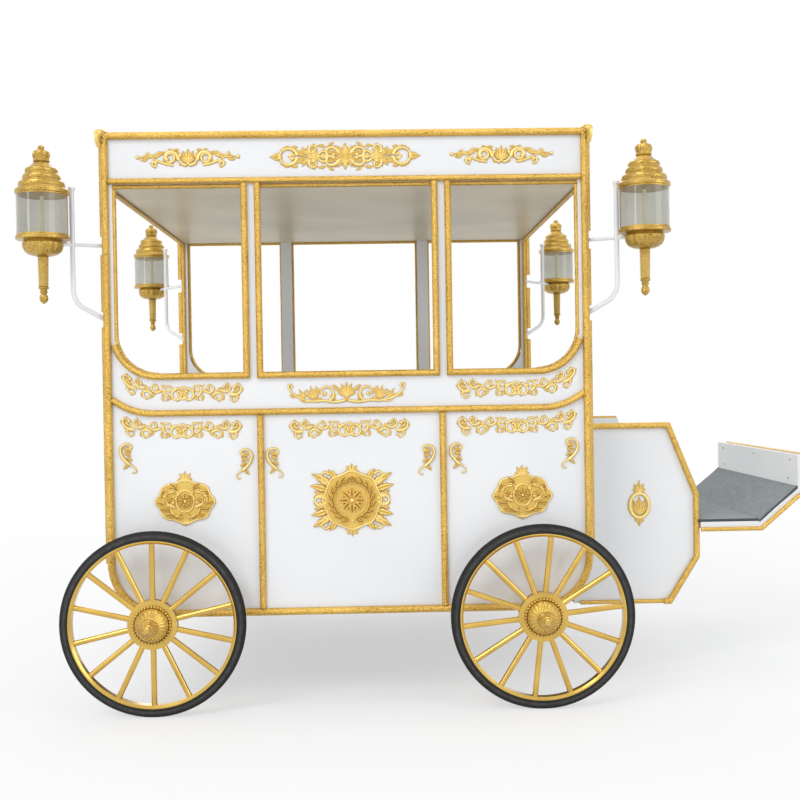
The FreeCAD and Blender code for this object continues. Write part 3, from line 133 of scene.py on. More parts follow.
def vector_joined(tree, operation, source, constant=(0.0, 0.0, 0.0)):
    """A vector joined with a constant one by an operation."""
    node = tree.nodes.new("ShaderNodeVectorMath")
    node.operation = operation
    tree.links.new(source, node.inputs[0])
    node.inputs[1].default_value = constant
    return node.outputs


def paint(tree, shader, source, stops):
    """Colours a shader by a value, through a ramp."""
    tree.links.new(ramp(tree, source, stops), shader.inputs["Base Color"])


def polish(tree, shader, source, low, high):
    """Roughens a shader by a value from 0 to 1."""
    tree.links.new(spread(tree, source, low, high), shader.inputs["Roughness"])


def bump(tree, shader, source, strength, distance):
    """Fine surface relief from a value."""
    node = add(tree, "ShaderNodeBump", Strength=strength, Distance=distance)
    tree.links.new(source, node.inputs["Height"])
    tree.links.new(node.outputs["Normal"], shader.inputs["Normal"])


# ---------------------------------------------------------------- materials
def gloss_white():
    """Sprayed white enamel with a faint orange peel."""
    made, tree, shader = material("gloss_white", Coat_Weight=0.35, Coat_Roughness=0.05)
    paint(tree, shader, noise(tree, 1.7, 2.0), [(0.3, (0.80, 0.815, 0.835)), (0.7, (0.845, 0.85, 0.86))])
    polish(tree, shader, noise(tree, 14.0), 0.14, 0.24)
    bump(tree, shader, noise(tree, 90.0, 2.0), 0.05, 0.0006)
    return made


def glitter_gold(name, dark, light, grain, depth, metal=0.85, rough=(0.22, 0.42), glitter=0.5, coat=0.0):
    """Gold paint over a grained moulding: fine grain, tone drift and small bright flakes."""
    made, tree, shader = material(name, Metallic=metal, Coat_Weight=coat, Coat_Roughness=0.15)
    drift = spread(tree, noise(tree, 6.0, 4.0, 0.6), -0.12, 0.24)
    fine = noise(tree, grain, 3.0, 0.65)
    flakes = add(tree, "ShaderNodeTexVoronoi", Scale=grain * 0.55)
    tree.links.new(position(tree), flakes.inputs["Vector"])
    cells = spread(tree, flakes.outputs["Distance"], 0.62, -0.35)
    tone = plus_share(tree, plus_share(tree, drift, fine, glitter), cells, 0.55)
    paint(tree, shader, tone, [(0.10, dark), (0.62, light)])
    polish(tree, shader, fine, *rough)
    bump(tree, shader, plus_share(tree, cells, fine, 0.6), 0.9, depth)
    return made


def carved_gold():
    """Gilt carving: painted highlight on its crests, painted shade in its hollows and against its ground."""
    made, tree, shader = material("carved_gold", Metallic=0.35)
    lift = tree.nodes.new("ShaderNodeAttribute")
    lift.attribute_name = CREST
    fine = noise(tree, 300.0, 3.0, 0.65)
    # Painted light: the crest value lifts the colour from painted shade at the foot of each form to painted
    # highlight at its top.
    tone = plus_share(tree, spread(tree, fine, -0.12, 0.12), lift.outputs["Fac"], 1.0)
    paint(tree, shader, tone, [
        (0.05, (0.28, 0.150, 0.015)), (0.45, (0.64, 0.405, 0.062)), (0.75, (0.88, 0.635, 0.170)),
        (1.0, (0.98, 0.80, 0.36)),
    ])
    polish(tree, shader, fine, 0.28, 0.5)
    bump(tree, shader, fine, 0.5, 0.0010)
    return made


def satin_gold():
    """Sprayed and lacquered gold of the wheels."""
    made, tree, shader = material("wheel_gold", Metallic=0.8, Coat_Weight=0.8, Coat_Roughness=0.12)
    drift = noise(tree, 9.0, 4.0, 0.6)
    paint(tree, shader, drift, [(0.25, (0.56, 0.345, 0.050)), (0.75, (0.76, 0.500, 0.092))])
    polish(tree, shader, noise(tree, 60.0), 0.17, 0.30)
    bump(tree, shader, noise(tree, 160.0, 2.0), 0.10, 0.0004)
    return made


TYRE_BAND = 0.046     # how far in from the tread the tyre's painted highlight and shaded edges reach, a little past its wall


def tread_place(tree):
    """How far out in a tyre's wall a point lies: 1 at the tread, 0 at the band's inner end."""
    reaches = []
    for tyre in ("tyre_front_left", "tyre_rear_left"):
        low, high = TYRES[tyre]
        centre = ((low.x + high.x) / 2, 0.0, (low.z + high.z) / 2)
        flat = vector_joined(tree, "MULTIPLY", position(tree), (1.0, 0.0, 1.0))["Vector"]
        reaches.append(vector_joined(tree, "DISTANCE", flat, centre)["Value"])
    radius = (high.z - low.z) / 2
    return spread(tree, joined(tree, "MINIMUM", *reaches), 0.0, 1.0, radius - TYRE_BAND, radius)


def rubber():
    """Matt tyre rubber: moulding rings, a painted highlight along the middle of its wall and painted shade
    towards its edges.
    """
    made, tree, shader = material("tyre_rubber", Specular_IOR_Level=0.3)
    place = tread_place(tree)
    rings = tree.nodes.new("ShaderNodeTexNoise")
    rings.noise_dimensions = "1D"
    settle(rings, Scale=14.0, Detail=3.0)
    tree.links.new(place, rings.inputs["W"])
    # Painted light: this curve lifts the colour along the middle of the rounded wall as a highlight and lets
    # it fall towards the edges as shade.
    band = tree.nodes.new("ShaderNodeFloatCurve")
    curve = band.mapping.curves[0]
    curve.points[0].location = (0.0, 0.05)
    curve.points[1].location = (1.0, 0.0)
    for share, band_light in ((0.28, 0.25), (0.55, 0.62), (0.80, 0.20)):
        curve.points.new(share, band_light)
    tree.links.new(place, band.inputs["Value"])
    patches = spread(tree, noise(tree, 34.0, 5.0, 0.7), -0.5, 0.5)
    band_light_and_rings = plus_share(tree, band.outputs["Value"], spread(tree, rings.outputs["Fac"], -0.5, 0.5), 0.55)
    paint(tree, shader, plus_share(tree, band_light_and_rings, patches, 0.7), [
        (0.0, (0.008, 0.008, 0.008)), (0.45, (0.021, 0.021, 0.020)), (0.95, (0.095, 0.092, 0.087)),
    ])
    pores = noise(tree, 240.0, 3.0)
    polish(tree, shader, pores, 0.5, 0.8)
    bump(tree, shader, plus_share(tree, pores, rings.outputs["Fac"], 0.8), 0.35, 0.0010)
    return made


def carpet():
    """Short grey-green pile."""
    made, tree, shader = material("grey_carpet", Roughness=0.95, Sheen_Weight=0.25)
    pile = noise(tree, 420.0, 4.0, 0.7)
    patch = spread(tree, noise(tree, 30.0, 4.0, 0.6), 0.0, 0.5)
    paint(tree, shader, plus_share(tree, patch, pile, 0.6), [
        (0.2, (0.085, 0.105, 0.11)), (0.85, (0.37, 0.415, 0.415)),
    ])
    bump(tree, shader, pile, 0.9, 0.003)
    return made


def black_steel():
    """Semi-gloss black paint on the running gear."""
    made, tree, shader = material("black_steel")
    paint(tree, shader, noise(tree, 20.0, 4.0), [(0.3, (0.012, 0.012, 0.013)), (0.8, (0.03, 0.03, 0.032))])
    polish(tree, shader, noise(tree, 70.0), 0.35, 0.5)
    bump(tree, shader, noise(tree, 200.0), 0.1, 0.0005)
    return made


def floor_boards():
    """Sealed board of the floor deck, its grain drawn out along the carriage."""
    made, tree, shader = material("deck_board", Roughness=0.5)
    stretch = add(tree, "ShaderNodeMapping", Scale=(1.5, 22.0, 1.0))
    tree.links.new(position(tree), stretch.inputs["Vector"])
    grain = noise(tree, 3.0, 6.0, 0.6, stretch.outputs["Vector"])
    paint(tree, shader, grain, [(0.3, (0.16, 0.12, 0.085)), (0.75, (0.30, 0.24, 0.17))])
    bump(tree, shader, grain, 0.3, 0.001)
    return made


def clear_glass():
    """Clear lamp glass."""
    made, tree, shader = material("lamp_glass", Transmission_Weight=1.0, IOR=1.45)
    paint(tree, shader, noise(tree, 5.0, 2.0), [(0.3, (0.60, 0.60, 0.55)), (0.7, (0.70, 0.70, 0.66))])
    polish(tree, shader, noise(tree, 8.0), 0.01, 0.05)
    return made


def plain_tone(name, low, high, scale, rough, painted_glow=0.0):
    """A soft two-tone finish, which may shine a little by painted light."""
    made, tree, shader = material(name, Roughness=rough)
    tone = ramp(tree, noise(tree, scale, 3.0), [(0.3, low), (0.7, high)])
    tree.links.new(tone, shader.inputs["Base Color"])
    if painted_glow:
        tree.links.new(tone, shader.inputs["Emission Color"])
        settle(shader, Emission_Strength=painted_glow)
    return made


WHITE = gloss_white()
ROPE = glitter_gold("rope_gold", (0.40, 0.215, 0.026), (0.92, 0.62, 0.165), 330.0, 0.0032)
WHEEL_GOLD = satin_gold()
LAMP_GOLD = glitter_gold("lamp_gold", (0.26, 0.140, 0.012), (0.93, 0.64, 0.150), 420.0, 0.0006,
                         metal=0.7, rough=(0.22, 0.38), glitter=0.35, coat=0.2)
# The stem's gold is a lighter, less metallic copy of the lamp gold: painted light, so the stem shows bright
# where it would mirror dark surroundings.
STEM_LIT_GOLD = glitter_gold("lamp_stem_lit_gold", (0.56, 0.38, 0.075), (1.0, 0.80, 0.34), 420.0, 0.0006,
                         metal=0.2, rough=(0.2, 0.36), glitter=0.35, coat=0.3)
CARVED = carved_gold()
RUBBER = rubber()
CARPET = carpet()
BLACK = black_steel()
DECK = floor_boards()
GLASS = clear_glass()
HEADLINING = plain_tone("cream_headlining", (0.54, 0.465, 0.305), (0.66, 0.575, 0.40), 2.2, 0.36)
# The candle's glow is painted light, standing in for the light that the lamp glass keeps from it.
CANDLE = plain_tone("candle_ivory", (0.80, 0.72, 0.52), (0.92, 0.86, 0.68), 90.0, 0.35, painted_glow=0.35)
BINDING = plain_tone("carpet_binding", (0.045, 0.055, 0.06), (0.085, 0.10, 0.105), 160.0, 0.9)
BEAD_SHADE = plain_tone("bead_painted_shade", (0.32, 0.185, 0.026), (0.46, 0.280, 0.046), 120.0, 0.5)
STEEL = plain_tone("screw_steel", (0.30, 0.30, 0.31), (0.42, 0.42, 0.43), 80.0, 0.35)

FINISH = {
    "chassis_frame": BLACK, "rear_axle": BLACK, "front_axle": BLACK, "pole_fork": BLACK,
    "floor_deck": DECK, "ceiling_panel": HEADLINING, "footboard_carpet": CARPET,
    "lantern_glass": GLASS, "lantern_brackets": WHITE,
}
PREFIX = {"rope_trim": ROPE, "wheel_": WHEEL_GOLD, "tyre_": RUBBER, "lantern_": LAMP_GOLD}
for name, node in NODES.items():
    by_prefix = next((made for start, made in PREFIX.items() if name.startswith(start)), WHITE)
    node.data.materials.clear()
    node.data.materials.append(FINISH.get(name, by_prefix))


# ---------------------------------------------------------------- carved relief
# A stroke is (points, half width, height, kind), in millimetres, across and up on its panel.
BOLD = 1.8            # how much heavier the stems are cut than their rows say
LEAFY = 1.3           # the same for the leaves
STEM_RISE = 1.2       # height of a stem to its half width
EYE, EYE_RISE = 1.15, 1.5    # radius and height of the eye that ends a stem, to the stem's half width
LEAF_RISE = 0.75      # height of a leaf to its half width
STUD_RISE = 0.9       # height of a stud to its radius
PROUD_RISE = 1.3      # how much higher strokes on a plate stand
MIDRIB_LIFT = 2.4     # how much more a leaf on a plate is lifted, for its sunk midrib
SPRIG_EVERY = 26.0    # millimetres of stem to each small leaf
SPRIG_LEAN, SPRIG_CURL = 38, 46    # degrees that a small leaf leans off its stem and curls back
SPRIG_LENGTH, SPRIG_WIDTH = 3.4, 0.60    # length and half width of a small leaf to its stem's half width
SPRIG_SHRINK = 0.45   # how much of their size the small leaves lose towards the stem's end
LEAF_STEPS = 14
RING_STEPS = 40
BEAD = 1.3            # radius of a bead on a band, to the half width that the band's row gives
PLATE_STEPS = 72
CURVE_PARTS = 5       # pieces of a smooth stroke between two of its points


def curl(x, y, heading, length, turn, ease=1.0, steps=16):
    """A line that turns by so many degrees in all; a larger ease turns it ever faster towards its end."""
    points = [Vector((x, y))]
    for step in range(steps):
        share = (step + 0.5) / steps
        angle = math.radians(heading + turn * share ** ease)
        points.append(points[-1] + Vector((math.cos(angle), math.sin(angle))) * (length / steps))
    return points


def stems(rows):
    """Curling stems, thick at the start, each ending in a round eye, with small leaves along the outer edge.

    Row: x, y, heading, length, turn, ease, half width.
    """
    strokes = []
    for x, y, heading, length, turn, ease, width in rows:
        line = curl(x, y, heading, length, turn, ease, max(14, int(abs(turn) / 12)))
        last = len(line) - 1
        bold = width * BOLD
        strokes.append((line, bold, bold * STEM_RISE, "stem"))
        strokes.append(([line[-1]], bold * EYE, bold * EYE_RISE, "boss"))
        outward = -1 if turn > 0 else 1
        sprigs = int(length / SPRIG_EVERY)
        for index in range(sprigs):
            share = (index + 0.7) / (sprigs + 0.6)
            spot = line[int(share * last)]
            ahead = line[min(last, int(share * last) + 1)]
            along = math.degrees(math.atan2(ahead.y - spot.y, ahead.x - spot.x))
            size = (1 - SPRIG_SHRINK * share) * bold
            strokes += leaves([(
                spot.x, spot.y, along + outward * SPRIG_LEAN, size * SPRIG_LENGTH, -outward * SPRIG_CURL,
                size * SPRIG_WIDTH)])
    return strokes


def leaves(rows):
    """Acanthus leaves with a sunk midrib and lobed edges. Row: x, y, heading, length, turn, half width."""
    return [
        (curl(x, y, heading, length, turn, 1.0, LEAF_STEPS), width * LEAFY, width * LEAFY * LEAF_RISE, "leaf")
        for x, y, heading, length, turn, width in rows
    ]


def bosses(rows):
    """Round studs. Row: x, y, radius."""
    return [([Vector((x, y))], radius, radius * STUD_RISE, "boss") for x, y, radius in rows]


def fan(x, y, heading, spread_angle, count, length, width):
    """Leaves spread like a palmette, the middle one longest, the outer ones curling away."""
    rows = []
    for index in range(count):
        share = index / (count - 1) * 2 - 1
        reach = length * (1 - 0.28 * share * share)
        rows.append((x, y, heading + spread_angle * share, reach, spread_angle * share * 0.35, width))
    return leaves(rows)


def flower(x, y, radius, petals=8):
    """An open flower of short petals round a boss."""
    rows = []
    for index in range(petals):
        angle = math.tau * index / petals
        rows.append((
            x + math.cos(angle) * radius * 0.2, y + math.sin(angle) * radius * 0.2, math.degrees(angle),
            radius * 0.8, 0, radius * 0.26))
    return leaves(rows) + bosses([(x, y, radius * 0.3)])


def ring(x, y, across, up, width, beads=0):
    """A round or oval band, with a row of beads on it if asked."""
    def spot(index, count):
        angle = math.tau * index / count
        return x + across * math.cos(angle), y + up * math.sin(angle)
    line = [Vector(spot(index, RING_STEPS)) for index in range(RING_STEPS + 1)]
    studs = bosses([(*spot(index, beads), width * BEAD) for index in range(beads)])
    return [(line, width * LEAFY, width * LEAFY, "band")] + studs


def moved(strokes, y=0.0, turn=0.0, flip_x=False, flip_y=False):
    """The same strokes mirrored, turned and moved up."""
    cosine, sine = math.cos(math.radians(turn)), math.sin(math.radians(turn))
    out = []
    for line, width, height, kind in strokes:
        fresh = []
        for point in line:
            u = -point.x if flip_x else point.x
            v = -point.y if flip_y else point.y
            fresh.append(Vector((u * cosine - v * sine, y + (u * sine + v * cosine))))
        out.append((fresh, width, height, kind))
    return out


def both_ways(strokes):
    """Strokes and their mirror image across the upright axis."""
    return strokes + moved(strokes, flip_x=True)


def all_ways(strokes):
    """Strokes mirrored across both axes."""
    return both_ways(strokes + moved(strokes, flip_y=True))


def bent_up(strokes, start, rise, reach):
    """Strokes whose outer end rises beyond a start distance, as a rail that curves up."""
    out = []
    for line, width, height, kind in strokes:
        fresh = []
        for point in line:
            over = max(0.0, (point.x - start) / reach)
            fresh.append(Vector((point.x, point.y + rise * over * over)))
        out.append((fresh, width, height, kind))
    return out


def fascia_centre():
    """Long scroll of the middle fascia, alike in all four quarters."""
    quarter = leaves([
        (2, 6, 90, 50, 0, 8), (8, 6, 52, 46, 20, 8), (10, 4, 16, 46, 12, 8),
    ]) + stems([
        (26, 14, 62, 120, -300, 1.5, 4.6),
        (46, 2, 0, 66, 0, 1.0, 3.2),
        (112, 10, 128, 78, 265, 1.4, 3.6),
        (150, 14, 66, 84, 300, 1.4, 3.8),
        (204, 5, 78, 112, -172, 1.0, 5.2),
        (214, 4, 40, 44, -230, 1.2, 3.0),
    ]) + fan(108, 3, 12, 12, 3, 88, 8) + leaves([
        (196, 10, 60, 40, -50, 6), (268, 3, 24, 44, -46, 7), (84, 40, 30, 38, -50, 6),
        (70, 44, 130, 30, 40, 5), (128, 14, 84, 34, -30, 6), (150, 10, 30, 46, 30, 7),
        (172, 4, 16, 44, 20, 7), (176, 26, -20, 30, 40, 5), (238, 34, 20, 30, -40, 6),
        (226, 36, 150, 28, 40, 6), (44, 20, -10, 40, 30, 6),
    ])
    tips = leaves([(266, 0, 0, 54, 0, 9), (-266, 0, 180, 54, 0, 9)])
    return all_ways(quarter) + tips + flower(0, 0, 17)


def fascia_side():
    """Scroll over an outer window: palmette between two volutes with trailing leaves."""
    half = stems([
        (6, -34, 0, 60, 128, 1.2, 4.2),
        (40, -14, 84, 214, -560, 1.35, 5.2),
        (64, -34, 10, 120, 40, 1.6, 3.4),
        (132, -20, 20, 60, -330, 1.3, 3.4),
    ]) + leaves([
        (100, 22, -14, 60, -28, 8), (112, 8, -2, 62, -14, 7.5), (150, 2, 4, 52, -12, 7),
        (120, -12, -30, 36, 26, 6), (168, -6, -24, 34, 28, 5.5), (60, 26, 150, 26, 40, 5),
    ]) + bosses([(212, 0, 9), (196, -6, 5)])
    return both_ways(half) + fan(0, -26, 90, 40, 5, 62, 9) + bosses([(0, -28, 8)])


def waist_centre():
    """Shell between C scrolls, with leafy S stems that rise to a curl at each end, 496 wide."""
    half = (
        through([(6, -34), (50, -41), (98, -35), (142, -37), (188, -28), (222, -8), (242, 14), (246, 30),
                 (236, 35), (228, 27)], 6.6, 9.0)
        + bosses([(233, 25, 6.5), (246, 34, 4.5)])
        + through([(72, -36), (56, -14), (64, 14), (88, 24), (108, 10), (104, -10), (90, -12)], 7.0, 11.0)
        + bosses([(90, -5, 7.5)])
        + through([(150, -34), (176, -40), (196, -30), (192, -18)], 4.4, 7.0)
        + fan(138, -26, 74, 44, 5, 58, 6.5)
        + fan(180, -24, 60, 30, 3, 46, 6)
    ) + leaves([
        (208, -14, 24, 36, -40, 5.5), (214, -12, -30, 26, 40, 5), (34, 4, 62, 40, -30, 6.5),
        (44, -12, -10, 32, 20, 5.5), (110, 2, 30, 34, 30, 6), (106, -24, -24, 34, 34, 5.5),
        (52, -34, 96, 26, -30, 5),
    ])
    shell = fan(0, -14, 90, 64, 7, 58, 7.5) + leaves([(0, -10, -90, 30, 0, 8)]) + bosses([(0, -12, 9)])
    return both_ways(half) + shell


def garland(outer_rise):
    """Vine garland with a flower in the middle; its outer end, towards +x, can rise."""
    half = stems([
        (20, 18, -10, 126, -330, 1.25, 3.8),
        (62, -14, 30, 86, 250, 1.4, 3.6),
        (92, 10, -44, 92, 320, 1.5, 3.4),
        (128, -12, 44, 90, -300, 1.4, 3.6),
        (160, 12, -40, 96, 310, 1.5, 3.4),
        (196, -14, 34, 84, -290, 1.4, 3.4),
        (206, -12, 2, 96, 250, 1.9, 4.2),
        (58, 6, 10, 40, 60, 1.0, 2.4),
    ]) + leaves([
        (52, -12, -66, 32, 40, 5.5), (84, -8, -78, 30, -40, 5.5), (104, 4, 66, 32, 40, 5.5),
        (118, -6, -62, 34, 44, 5.5), (146, 2, 60, 32, -50, 5.5), (164, -4, -58, 34, -30, 5.5),
        (184, 2, 62, 32, 36, 5.5), (206, -6, -50, 34, 40, 5.5), (226, 2, 70, 28, -50, 5),
        (74, 2, 20, 34, -30, 5), (136, 0, 4, 34, 30, 5), (212, 2, 10, 34, 30, 5),
    ])
    plain = moved(half, flip_x=True)
    rising = bent_up(half, 60.0, outer_rise, 200.0)
    middle = ring(0, 0, 21, 23, 3.0) + flower(0, 0, 17, 7) + stems([
        (0, 24, 20, 34, -170, 1.0, 2.6), (0, 24, 160, 34, 170, 1.0, 2.6),
        (0, -26, -20, 34, 170, 1.0, 2.6), (0, -26, 200, 34, -170, 1.0, 2.6),
    ])
    return plain + rising + middle


def through(spots, width, height, kind="stem"):
    """A smooth stroke through a few points."""
    spots = [Vector(spot) for spot in spots]
    line = [spots[0]]
    for index in range(len(spots) - 1):
        before = spots[max(0, index - 1)]
        here, after = spots[index], spots[index + 1]
        beyond = spots[min(len(spots) - 1, index + 2)]
        for part in range(1, CURVE_PARTS + 1):
            t = part / CURVE_PARTS
            line.append(0.5 * (
                2 * here + (after - before) * t
                + (2 * before - 5 * here + 4 * after - beyond) * t * t
                + (3 * here - before - 3 * after + beyond) * t * t * t))
    return [(line, width, height, kind)]


def corner_scroll():
    """Small upright S scroll: a fat leafy back that curls in at its head, and a thin curled tail."""
    return (
        through([(6, -24), (-12, -8), (-27, 12), (-33, 34), (-26, 54), (-8, 63), (9, 58), (15, 47)],
                8.5, 13.0)
        + bosses([(9, 46, 8)])
        + through([(2, -20), (24, -36), (33, -50), (26, -62)], 4.6, 8.0)
        + bosses([(18, -60, 5)])
        + through([(0, -20), (-10, -32), (-22, -44)], 8.0, 8.0, "leaf")
        + through([(-20, 40), (0, 40), (12, 28)], 9.0, 9.0, "leaf")
        + through([(-18, 22), (0, 22), (10, 12)], 9.0, 10.0, "leaf")
        + through([(-8, 4), (6, 0), (16, -10)], 8.0, 9.0, "leaf")
    )


def oval_plate(across, up, lobes, depth, height):
    """A raised plate with a gently lobed edge, drawn as one closed ring of points."""
    line = []
    for index in range(PLATE_STEPS):
        angle = math.tau * index / PLATE_STEPS
        swell = 1 + depth * math.cos(lobes * angle)
        line.append(Vector((across * swell * math.cos(angle), up * swell * math.sin(angle))))
    return [(line, 0.0, height, "plate")]


def edge_band(plate, width, height):
    """A raised band along a plate's edge."""
    line = plate[0][0]
    return [(line + line[:1], width, height, "band")]


def side_medallion():
    """Flower medallion on a lobed plate with leaf sprays, 260 by 232."""
    half = stems([
        (44, -34, 14, 150, 250, 1.4, 4.4),
        (46, 30, 0, 128, -250, 1.5, 4.2),
        (12, -78, 4, 120, 160, 1.3, 3.6),
    ]) + leaves([
        (50, -12, 24, 62, 24, 8), (52, 4, -12, 58, -26, 8), (58, 26, 28, 46, -54, 7),
        (34, 42, 62, 40, -50, 7), (66, -44, -16, 44, 50, 7), (40, -62, -34, 44, 54, 7),
        (88, -24, 30, 34, -30, 7), (14, -62, -60, 34, 40, 6),
    ])
    thick = 5.0
    plate = moved(oval_plate(119, 88, 8, 0.05, thick), y=-13)
    middle = ring(0, -10, 38, 46, 4.4, 22) + moved(flower(0, 0, 33, 8), y=-10)
    crest = fan(0, 72, 90, 58, 5, 46, 8) + bosses([(0, 74, 8)]) + fan(0, -90, -90, 50, 5, 28, 7)
    return plate + edge_band(plate, 5.0, 9.5) + raised(both_ways(half) + middle, thick) + crest


def wreath(radius):
    """Pairs of leaves up both sides of a circle, tied with three studs at the bottom."""
    pairs, start, step, lean = 9, -80, 19.5, 34
    strokes = []
    for side in (1, -1):
        for index in range(pairs):
            angle = math.radians(start + step * index)
            x, y = radius * math.cos(angle) * side, radius * math.sin(angle)
            heading = math.degrees(math.atan2(math.cos(angle), -math.sin(angle) * side))
            for out in (-lean, lean):
                strokes += leaves([(x, y, heading + out, 36, -out * 0.8, 6.5)])
    return strokes + bosses([(0, -radius, 9), (13, -radius - 2, 6), (-13, -radius - 2, 6)])


def centre_medallion():
    """Wreath medallion with a large flower, on a lobed plate with leaf scrolls round it, 342 by 311."""
    half = leaves([
        (88, 58, 46, 100, -24, 14), (102, 42, 22, 80, -12, 12),
        (70, 88, 72, 54, -34, 10), (112, 18, 12, 54, 22, 9),
        (88, -58, -46, 96, 24, 14), (102, -42, -22, 76, 12, 12),
        (70, -88, -72, 50, 34, 10), (112, -18, -12, 54, -22, 9),
    ]) + stems([
        (112, 6, 52, 92, -255, 1.4, 4.4),
        (112, -6, -52, 92, 255, 1.4, 4.4),
        (98, 76, 4, 88, 230, 1.5, 4.2),
        (98, -76, -4, 88, -230, 1.5, 4.2),
    ])
    plate = oval_plate(121, 120, 8, 0.035, 7.0)
    middle = flower(0, 0, 52, 8) + moved(flower(0, 0, 34, 8), turn=22.5)
    field = raised(wreath(86) + middle + ring(0, 0, 63, 63, 3.6, 28), 6.0)
    fans = fan(0, 112, 90, 56, 5, 44, 9) + fan(0, -112, -90, 56, 5, 44, 9)
    return plate + edge_band(plate, 6.0, 13.0) + field + both_ways(half) + fans


def box_emblem():
    """Beaded oval ring with a leaf spray inside, a palmette above and a drop below, 110 by 217."""
    return (
        ring(0, -8, 44, 56, 7.5, 22)
        + fan(0, -50, 90, 40, 5, 84, 9)
        + flower(0, 2, 18, 6)
        + fan(0, 56, 90, 60, 5, 46, 8)
        + bosses([(0, 58, 9), (0, 104, 5)])
        + fan(0, -66, -90, 48, 3, 38, 8)
    )


def raised(strokes, lift):
    """Strokes that stand on top of a plate; a leaf's sunk midrib stays clear of it too."""
    return [
        (line, width, height * PROUD_RISE + lift * (MIDRIB_LIFT if kind == "leaf" else 1.0), kind)
        for line, width, height, kind in strokes
    ]


# ---------------------------------------------------------------- relief as mesh
# A stroke's section: (across, up), as parts of its half width and height.
SECTION = [(-1.0, 0.0), (-0.85, 0.5), (-0.45, 0.88), (0.0, 1.0), (0.45, 0.88), (0.85, 0.5), (1.0, 0.0)]
LEAF_SECTION = [(-1.0, 0.0), (-0.82, 0.62), (-0.42, 1.0), (0.0, 0.45), (0.42, 1.0), (0.82, 0.62), (1.0, 0.0)]
BOSS_STEPS = 10
BOSS_LEVELS = (0.0, 0.45, 0.8)
PLATE_TOP = 0.985     # width of a plate's top to its foot
PLATE_PAINTED_LIGHT = 0.62     # how much painted light a plate's top gets, as a crest value


def stroke_share(kind, share):
    """Width of a stroke along its length, as a part of its full width."""
    if kind == "leaf":
        lobes = 1 + 0.16 * math.sin(share * math.tau * 3.5)
        return max(0.06, math.sin(math.pi * min(1.0, share ** 0.75)) ** 0.8 * lobes)
    if kind == "stem":
        return 1.0 - 0.5 * share
    if kind == "lobe":
        return 0.62 + 0.38 * math.sin(math.pi * min(1.0, share * 1.15)) if share < 0.93 else 0.5
    return 1.0


def skin(mesh, rows, closed=True):
    """Faces between rows of points, each row closed to a ring unless told."""
    count = len(rows[0])
    for first, second in zip(rows, rows[1:]):
        for k in range(count if closed else count - 1):
            after = (k + 1) % count
            mesh.faces.new((first[k], first[after], second[after], second[k]))


class Relief:
    """One mesh of many strokes on one or more flat faces."""

    def __init__(self):
        self.mesh = bmesh.new()
        self.crest = self.mesh.verts.layers.float.new(CREST)

    def point(self, place, crest):
        """A vertex, with how far up its own form it is."""
        made = self.mesh.verts.new(place)
        made[self.crest] = crest
        return made

    def add(self, strokes, onto):
        """onto turns (across, up, out) in millimetres into a place in metres."""
        for line, width, height, kind in strokes:
            if kind == "boss":
                self.boss(line[0], width, height, onto)
            elif kind == "plate":
                self.plate(line, height, onto)
            else:
                self.ribbon(line, width, height, kind, onto)

    def ribbon(self, line, width, height, kind, onto):
        """A stroke swept along its line."""
        section = LEAF_SECTION if kind == "leaf" else SECTION
        least = 0.35 if kind == "leaf" else 0.6    # a tip's height, to the full height
        count = len(line)
        rows = []
        for index, point in enumerate(line):
            before = line[max(0, index - 1)]
            after = line[min(count - 1, index + 1)]
            along = (after - before).normalized()
            across = Vector((-along.y, along.x))
            share = index / (count - 1)
            size = stroke_share(kind, share)
            rise = height * (least + (1 - least) * min(1.0, size))
            rows.append([
                self.point(onto(point.x + across.x * u * width * size, point.y + across.y * u * width * size,
                                rise * w), w)
                for u, w in section
            ])
        skin(self.mesh, rows, closed=False)
        for row in (rows[0], rows[-1]):
            self.mesh.faces.new(row)

    def boss(self, centre, radius, height, onto):
        """A domed stud."""
        rings = []
        for level in BOSS_LEVELS:
            size = radius * math.sqrt(1 - level * level)
            row = []
            for index in range(BOSS_STEPS):
                angle = math.tau * index / BOSS_STEPS
                u, v = centre.x + size * math.cos(angle), centre.y + size * math.sin(angle)
                row.append(self.point(onto(u, v, height * level), level))
            rings.append(row)
        tip = self.point(onto(centre.x, centre.y, height), 1.0)
        skin(self.mesh, rings)
        for k in range(BOSS_STEPS):
            self.mesh.faces.new((rings[-1][k], rings[-1][(k + 1) % BOSS_STEPS], tip))

    def plate(self, line, height, onto):
        """A flat raised ground with a bevelled edge."""
        low = [self.point(onto(p.x, p.y, 0.0), 0.0) for p in line]
        high = [self.point(onto(p.x * PLATE_TOP, p.y * PLATE_TOP, height), PLATE_PAINTED_LIGHT) for p in line]
        skin(self.mesh, [low, high])
        self.mesh.faces.new(high)

    def finish(self, name, body, finish):
        """The mesh as a shown piece."""
        bmesh.ops.recalc_face_normals(self.mesh, faces=self.mesh.faces)
        return as_piece(name, self.mesh, body, finish)


def as_piece(name, mesh, body, finish, smooth=40.0):
    """A bmesh as a shown piece that rides on a body, smooth apart from its sharp edges."""
    data = bpy.data.meshes.new(name)
    for edge in mesh.edges:
        faces = edge.link_faces
        if len(faces) == 2 and edge.calc_face_angle(0.0) > math.radians(smooth):
            edge.smooth = False
    for face in mesh.faces:
        face.smooth = True
    mesh.to_mesh(data)
    mesh.free()
    made = bpy.data.objects.new(name, data)
    bpy.context.scene.collection.objects.link(made)
    data.materials.append(finish)
    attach(made, body)
    return made


